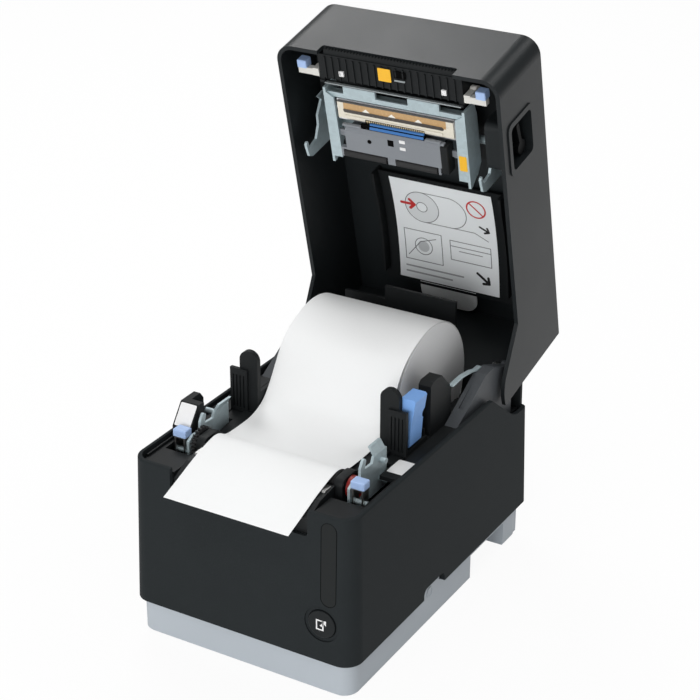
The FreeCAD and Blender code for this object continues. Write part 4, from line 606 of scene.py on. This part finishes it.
def hang(piece, finish):
    """Turns a piece drawn on the shut lid to where the open lid holds it, and fixes it there."""
    bpy.ops.object.select_all(action="DESELECT")
    piece.select_set(True)
    bpy.context.view_layer.objects.active = piece
    piece.matrix_world = (Matrix.Translation(hinge_place) @ Matrix.Rotation(-lid_swing, 4, "X")
                          @ Matrix.Translation(-hinge_place))
    bpy.ops.object.transform_apply(location=True, rotation=True, scale=True)
    settle(piece, "lid", finish)


def shut_place(place):
    """The place on the lid in millimetres, as if the lid were shut."""
    turn = Matrix.Rotation(lid_swing, 3, "X")
    shift = (hinge_place - turn @ hinge_place) * 1000
    return place.node("Mapping", {}, {"Vector": place, "Rotation": (lid_swing, 0, 0),
                                      "Scale": (1000, 1000, 1000), "Location": shift})


# Lid latch. A galvanised bar with hooks turns in the lid and holds it to the case; the black
# finger lever in the side pocket is fixed to it and lets it go.
dress(zinc, "latch_bar")
lever_black = moulded("finger lever plastic", (0.005, 0.0055, 0.006), 0.5, 2000.0, 0.00002, 0.1, 1.2)
dress(lever_black, "open_lever")


# Liner and loading guide. A curved black liner under the lid's top carries a thin plastic sheet
# printed with plain loading pictures; a grey tongue hangs below it.
dress(inner_black, "lid_liner")


def stroke(x, y, start, end, half):
    """Mask of a straight printed line, in millimetres."""
    run_x = end[0] - start[0]
    run_y = end[1] - start[1]
    size = run_x * run_x + run_y * run_y
    along = ((x - start[0]) * run_x + (y - start[1]) * run_y) * (1 / size)
    along = along.node("Clamp", {}, {0: along})
    off_x = x - start[0] - along * run_x
    off_y = y - start[1] - along * run_y
    return (off_x * off_x + off_y * off_y) < half * half


def hoop(x, y, centre, radius, half):
    """Mask of a printed circle, in millimetres."""
    off_x = x - centre[0]
    off_y = y - centre[1]
    away = off_x * off_x + off_y * off_y
    return (away > (radius - half) ** 2) * (away < (radius + half) ** 2)


def arrow(x, y, start, end, half):
    """Mask of a printed arrow."""
    run = (Vector(end) - Vector(start)).normalized()
    across = Vector((-run.y, run.x))
    tip = Vector(end)
    head = 3.2 * half
    left = tip - run * head + across * head
    right = tip - run * head - across * head
    return (stroke(x, y, start, end, half) | stroke(x, y, tip, left, half)) | stroke(x, y, tip, right, half)


def loading_print(name):
    """White sheet printed with a roll, its paper, a box and arrows in plain lines."""
    material, shader, place = new_finish(name)
    shut = shut_place(place)
    x = shut.part(0)
    y = shut.part(1)
    thin = 0.28
    lines = hoop(x, y, (-15, 25), 11.5, thin) | hoop(x, y, (-15, 25), 3.6, thin)
    lines = lines | stroke(x, y, (-15, 13.5), (4, 13.5), thin)
    lines = lines | stroke(x, y, (-15, 36.5), (20, 36.5), thin)
    lines = lines | stroke(x, y, (20, 36.5), (29, 41), thin)
    lines = lines | (hoop(x, y, (4, 25), 11.5, thin) * (x > 4))
    for start, end in (((2, 46), (30, 46)), ((30, 46), (30, 60)), ((30, 60), (2, 60)), ((2, 60), (2, 46)),
                       ((2, 50), (30, 50)), ((8, 53), (24, 53)), ((-30, 44), (-4, 44)),
                       ((-4, 44), (-4, 66)), ((-4, 66), (-30, 66)), ((-30, 66), (-30, 44)),
                       ((-28, 63), (-19, 52)), ((-19, 52), (-8, 48))):
        lines = lines | stroke(x, y, start, end, thin)
    lines = lines | hoop(x, y, (-17, 55), 6.0, thin)
    dark = arrow(x, y, (20, 66), (28, 72), 0.9) | arrow(x, y, (24, 31), (30, 34), 0.7)
    red = arrow(x, y, (-29, 24), (-20, 24), 1.0) | hoop(x, y, (23, 18), 6.2, 0.5)
    red = red | stroke(x, y, (18.6, 13.6), (27.4, 22.4), 0.5)
    bars = stroke(x, y, (-30, 71), (10, 71), 0.55) | stroke(x, y, (-30, 75), (2, 75), 0.55)
    grey = hoop(x, y, (-17, 55), 2.0, 2.0) | (hoop(x, y, (-15, 25), 7.5, 3.6) * 0.35)
    tooth = noise(place, 1200.0, 4.0)
    colour = mixed(tooth, (0.84, 0.87, 0.885, 1), (0.87, 0.90, 0.915, 1))
    colour = mixed(grey * 0.55, colour, (0.25, 0.26, 0.27, 1))
    colour = mixed(bars * 0.7, colour, (0.16, 0.16, 0.17, 1))
    colour = mixed(lines * 0.85, colour, (0.05, 0.05, 0.055, 1))
    colour = mixed(red, colour, (0.55, 0.03, 0.03, 1))
    feed(shader, "Base Color", mixed(dark, colour, (0.015, 0.015, 0.015, 1)))
    feed(shader, "Roughness", 0.30 + tooth * 0.10)
    relief(shader, tooth, 0.00001)
    return material


guide_print = loading_print("printed guide sheet")
liner_middle_y = 42.4
liner_curve = 234.9
liner_top = 160.6
liner_centre_z = liner_top - liner_curve
sheet_half = 34.8
sheet_front = 5.0
sheet_rear = 79.6
sheet_thickness = 0.16
sheet_curve = liner_curve - 0.30
sheet_start = math.asin((sheet_front - liner_middle_y) / sheet_curve)
sheet_end = math.asin((sheet_rear - liner_middle_y) / sheet_curve)
edge_y = liner_middle_y + sheet_curve * math.sin(sheet_start)
edge_z = liner_centre_z + sheet_curve * math.cos(sheet_start)
guide_sheet = start_block("guide_sheet", (-sheet_half, edge_y, edge_z),
                          (sheet_half, edge_y + 0.001, edge_z + sheet_thickness))
pick_faces(guide_sheet, lambda face: face.normal.y < 0.99)
bpy.ops.mesh.delete(type="FACE")
bpy.ops.mesh.select_all(action="SELECT")
bpy.ops.mesh.spin(steps=28, angle=sheet_end - sheet_start, axis=(1, 0, 0),
                  center=(0, liner_middle_y / 1000, liner_centre_z / 1000))
bpy.ops.mesh.select_all(action="SELECT")
bpy.ops.mesh.remove_doubles(threshold=0.000001)
bpy.ops.mesh.select_all(action="DESELECT")
bpy.ops.mesh.select_mode(type="EDGE")
bpy.ops.mesh.select_non_manifold()
bpy.ops.mesh.edge_face_add()
bpy.ops.mesh.select_all(action="SELECT")
bpy.ops.mesh.normals_make_consistent(inside=False)
bpy.ops.object.mode_set(mode="OBJECT")
hang(guide_sheet, guide_print)

tongue_grey = moulded("pale grey tongue", (0.72, 0.74, 0.74), 0.45, 1700.0, 0.00002, 0.05)
tongue_corner = 9.0
tongue = start_block("liner_tongue", (-21.0, 80.6, 157.4), (18.5, 96.5, 158.2))
pick_edges(tongue, lambda run, middle: abs(run.z) > 0.99 and middle.y > 0.09)
bpy.ops.mesh.bevel(offset=tongue_corner / 1000, segments=8, affect="EDGES")
bpy.ops.object.mode_set(mode="OBJECT")
soften(tongue, 0.15)
hang(tongue, tongue_grey)


# Cutter. A ribbed black cover with a serrated tear bar in front hides a thin sliding blade and
# its small motor. It has two white windows, a plain yellow patch beside a slot with its slider,
# and a steel strip along its rear edge.
dress(inner_black, "cutter_cover", "tear_bar")
dress(bright_steel, "cutter_blade")
dress(motor_black, "cutter_motor")
rib_face = 115.8
for name, x in (("cover_window_left", -31.0), ("cover_window_right", 34.6)):
    window = start_block(name, (x - 1.5, -91.6, rib_face - 0.25), (x + 1.5, -88.4, rib_face + 1.0))
    sink_face(window, (0, 0, -1), 0.45, 0.3)
    hang(window, mark_white)
patch_yellow = printed_label("yellow patch", (0.86, 0.46, 0.015))
patch = start_block("cover_patch", (-6.6, -98.6, rib_face - 0.16), (1.6, -90.4, rib_face + 0.02))
round_corners(patch, 2, 0.5)
hang(patch, patch_yellow)
slot = start_block("cover_slot", (3.6, -98.2, rib_face - 0.10), (11.0, -93.9, rib_face + 0.5))
sink_face(slot, (0, 0, -1), 0.5, 0.3)
soften(slot, 0.1)
hang(slot, rubber_and_shade_black)
steel_grey = galvanised("dull steel edge", (0.30, 0.33, 0.34))
slider = start_block("cover_slider", (3.6, -92.7, rib_face - 0.20), (10.4, -91.7, rib_face + 0.3))
round_corners(slider, 2, 0.3)
soften(slider, 0.08)
hang(slider, steel_grey)
strip = start_block("cutter_strip", (-43.0, -82.9, 115.9), (44.5, -82.4, 117.6))
pull_face(strip, (0, 0, -1), (0, 0.3, -0.3))
soften(strip, 0.1)
hang(strip, steel_grey)


# Print head. A galvanised bracket carries a sprung aluminium bar with the glazed ceramic strip,
# which a row of gilt contacts and a blue flat cable feed from behind.
dress(zinc, "head_bracket")
milled = turned_steel("milled aluminium", (0.72, 0.73, 0.75), 0.34, (3.0, 60.0, 60.0))
dress(milled, "heat_sink")
dress(bright_steel, "head_springs")


def wedge(x, y, middle):
    """Mask of a small triangle printed along the heating line, in millimetres."""
    wide = abs(x - middle)
    tip_y = -68.4
    foot_y = -66.2
    return ((wide * 0.8 - y) < -tip_y) * (y < foot_y)


def glazed_strip(name):
    """Cream ceramic with a tan glaze band, white marks, the dark heating line and a painted shadow of the
    bracket's lip along its front edge.
    """
    material, shader, place = new_finish(name)
    shut = shut_place(place)
    x = shut.part(0)
    y = shut.part(1)
    grain = noise(place, 700.0, 4.0)
    middle = (x > -33.5) * (x < 33.0)
    tan_band = (y > -70.6) * (y < -65.2) * middle
    # Painted shadow: a near-black band along the strip's front edge, where the bracket's lower lip shades
    # it.
    painted_lip_shadow = (y < -70.3)
    heating = stroke(x, y, (-32.6, -65.2), (30.2, -65.2), 1.25)
    marks = wedge(x, y, -18.7) | wedge(x, y, -1.8) | wedge(x, y, 15.4)
    colour = mixed(grain, (0.66, 0.62, 0.52, 1), (0.74, 0.70, 0.60, 1))
    colour = mixed(tan_band, colour, mixed(grain, (0.42, 0.25, 0.10, 1), (0.56, 0.36, 0.17, 1)))
    colour = mixed(marks, colour, (0.80, 0.78, 0.72, 1))
    colour = mixed(heating, colour, (0.045, 0.038, 0.032, 1))
    feed(shader, "Base Color", mixed(painted_lip_shadow, colour, (0.06, 0.06, 0.06, 1)))
    feed(shader, "Roughness", 0.20 + grain * 0.12)
    relief(shader, grain, 0.00001)
    return material


ceramic = glazed_strip("glazed ceramic")
dress(ceramic, "print_head")
head_face = 116.4
contact_gold = turned_steel("gilt contacts", (0.80, 0.66, 0.42), 0.30, (40.0, 3.0, 40.0))
bed = start_block("contact_bed", (-19.4, -61.9, head_face - 0.08), (19.0, -58.4, head_face + 0.3))
soften(bed, 0.06)
hang(bed, rubber_and_shade_black)
contact_count = 27
contact_pitch = 1.40
contact = start_block("head_contacts", (-18.6, -61.6, head_face - 0.3), (-17.8, -58.7, head_face))
soften(contact, 0.1)
row = contact.modifiers.new("row", "ARRAY")
row.count = contact_count
row.use_relative_offset = False
row.use_constant_offset = True
row.constant_offset_displace = (contact_pitch / 1000, 0, 0)
bpy.ops.object.modifier_apply(modifier=row.name)
hang(contact, contact_gold)
flex_blue = moulded("blue flat cable", (0.030, 0.15, 0.42), 0.36, 1100.0, 0.00003, 0.15)
cable = start_block("head_cable", (-15.8, -60.6, 114.8), (19.2, -60.1, 116.2))
pull_face(cable, (0, 1, 0), (0, 2.8, -1.0))
soften(cable, 0.2)
hang(cable, flex_blue)
# Painted shade: a black block with a sunk face, set before the sensor panel's front face, stands for the
# shade in the recess there.
shade_block = start_block("painted_recess_shade", (-21.6, -59.6, 114.2), (19.8, -56.6, 116.3))
sink_face(shade_block, (0, 0, -1), 0.6, 0.4)
soften(shade_block, 0.2)
hang(shade_block, rubber_and_shade_black)
arm_patch = start_block("arm_patch", (39.6, -49.6, 116.44), (44.4, -39.8, 116.62))
round_corners(arm_patch, 2, 0.6)
hang(arm_patch, patch_yellow)


# Sensor panel. A mid grey moulding behind the head with a black end, a dark sensor eye, a square
# window and two white reflectors, and two black rubber rollers along its edge.
panel_grey = moulded("mid grey plastic", (0.20, 0.215, 0.235), 0.46, 1700.0, 0.00002)
dress(panel_grey, "sensor_panel")
dress(platen_rubber, "pinch_rollers")
panel_face = 112.6
for name, low_x, high_x in (("panel_lip_left", -34.0, -21.6), ("panel_lip_right", 19.8, 30.0)):
    lip = start_block(name, (low_x, -58.0, panel_face + 1.1), (high_x, -56.4, panel_face + 3.6))
    soften(lip, 0.5, 3)
    hang(lip, panel_grey)
panel_end = start_block("panel_end", (30.0, -56.0, panel_face - 0.12), (34.6, -38.2, panel_face + 8.0))
soften(panel_end, 0.4, 3)
hang(panel_end, inner_black)
eye = start_disc("sensor_eye", (-16.0, -50.0, panel_face), (0, 0, -1), 1.3, 0.5, 28)
sink_face(eye, (0, 0, -1), 0.3, 0.12)
hang(eye, rubber_and_shade_black)
sensor_window = start_block("sensor_window", (-3.8, -53.8, panel_face - 0.2),
                            (0.0, -49.8, panel_face + 0.6))
sink_face(sensor_window, (0, 0, -1), 0.5, 0.1)
soften(sensor_window, 0.1)
hang(sensor_window, rubber_and_shade_black)
for name, y in (("reflector_front", -54.0), ("reflector_rear", -49.4)):
    reflector = start_block(name, (3.8, y - 1.0, panel_face - 0.2), (7.6, y + 1.0, panel_face + 0.4))
    soften(reflector, 0.25)
    hang(reflector, mark_white)


# Lock levers of the cutter cover. Levers moulded in off-white plastic at both ends of the cover,
# each with a pale blue tab to push.
lever_white = moulded("off-white plastic", (0.66, 0.65, 0.61), 0.42, 1700.0, 0.00002, 0.04)
dress(lever_white, "head_lock_right", "head_lock_left")
dress(blue_tip, "lock_tab_right", "lock_tab_left")


# Surroundings. A plain white table under soft light from above, behind and the front, seen from
# the front right and above.
bpy.ops.object.select_all(action="DESELECT")
bpy.ops.mesh.primitive_plane_add(size=8.0, location=(0.0, 0.0, 0.0))
table_top = bpy.context.object
table_top.name = "table_top"
table_white, table_shader, table_place = new_finish("white table")
table_shader.inputs["Base Color"].default_value = (0.93, 0.93, 0.93, 1)
table_shader.inputs["Roughness"].default_value = 0.9
seen = table_place.node("LightPath", {}, {}, "Is Camera Ray")
seen = seen + table_place.node("LightPath", {}, {}, "Is Glossy Ray")
seen = seen + table_place.node("LightPath", {}, {}, "Is Transmission Ray")
glow = table_place.node("Emission", {}, {"Color": (1, 1, 1, 1), "Strength": 1.0})
plain = Ink(table_place.tree, table_shader.outputs[0])
glow_share = 0.93
cover = table_place.node("MixShader", {}, {0: seen * glow_share, 1: plain, 2: glow})
table_place.tree.links.new(cover.socket, table_place.tree.nodes["Material Output"].inputs["Surface"])
table_top.data.materials.append(table_white)

world = bpy.data.worlds.new("studio")
bpy.context.scene.world = world
world.use_nodes = True
sky = world.node_tree
air = Ink(sky, sky.nodes.new("ShaderNodeLightPath").outputs["Is Camera Ray"])
around = air.node("Background", {}, {"Color": (1, 1, 1, 1), "Strength": 0.34})
behind = air.node("Background", {}, {"Color": (1, 1, 1, 1), "Strength": 1.0})
both = air.node("MixShader", {}, {0: air, 1: around, 2: behind})
sky.links.new(both.socket, sky.nodes["World Output"].inputs["Surface"])


def soft_light(name, place, target, size, power):
    bpy.ops.object.light_add(type="AREA", location=place)
    lamp = bpy.context.object
    lamp.name = name
    lamp.data.shape = "SQUARE"
    lamp.data.size = size
    lamp.data.energy = power
    lamp.rotation_mode = "QUATERNION"
    lamp.rotation_quaternion = (Vector(target) - Vector(place)).to_track_quat("-Z", "Y")


soft_light("top light", (0.0, -0.3, 1.9), (0.0, 0.0, 0.1), 1.6, 12.0)
soft_light("back light", (-0.85, 0.9, 1.5), (0.0, 0.05, 0.2), 0.7, 11.0)
soft_light("side light", (0.5, 0.9, 1.5), (0.0, 0.05, 0.2), 0.6, 4.5)
soft_light("front light", (0.15, -1.9, 0.30), (0.0, 0.0, 0.17), 1.3, 27.0)

camera_place = (0.5024, -0.8453, 0.6267)
camera_look = Vector((-0.4543, 0.7771, -0.4355))
camera_roll = math.radians(0.158)
bpy.ops.object.camera_add(location=camera_place)
camera = bpy.context.object
camera.data.lens = 98.97
camera.data.sensor_width = 36.0
camera.rotation_mode = "QUATERNION"
aim = camera_look.to_track_quat("-Z", "Y")
camera.rotation_quaternion = aim @ Matrix.Rotation(camera_roll, 3, "Z").to_quaternion()
bpy.context.scene.camera = camera
bpy.context.scene.view_settings.view_transform = "Standard"
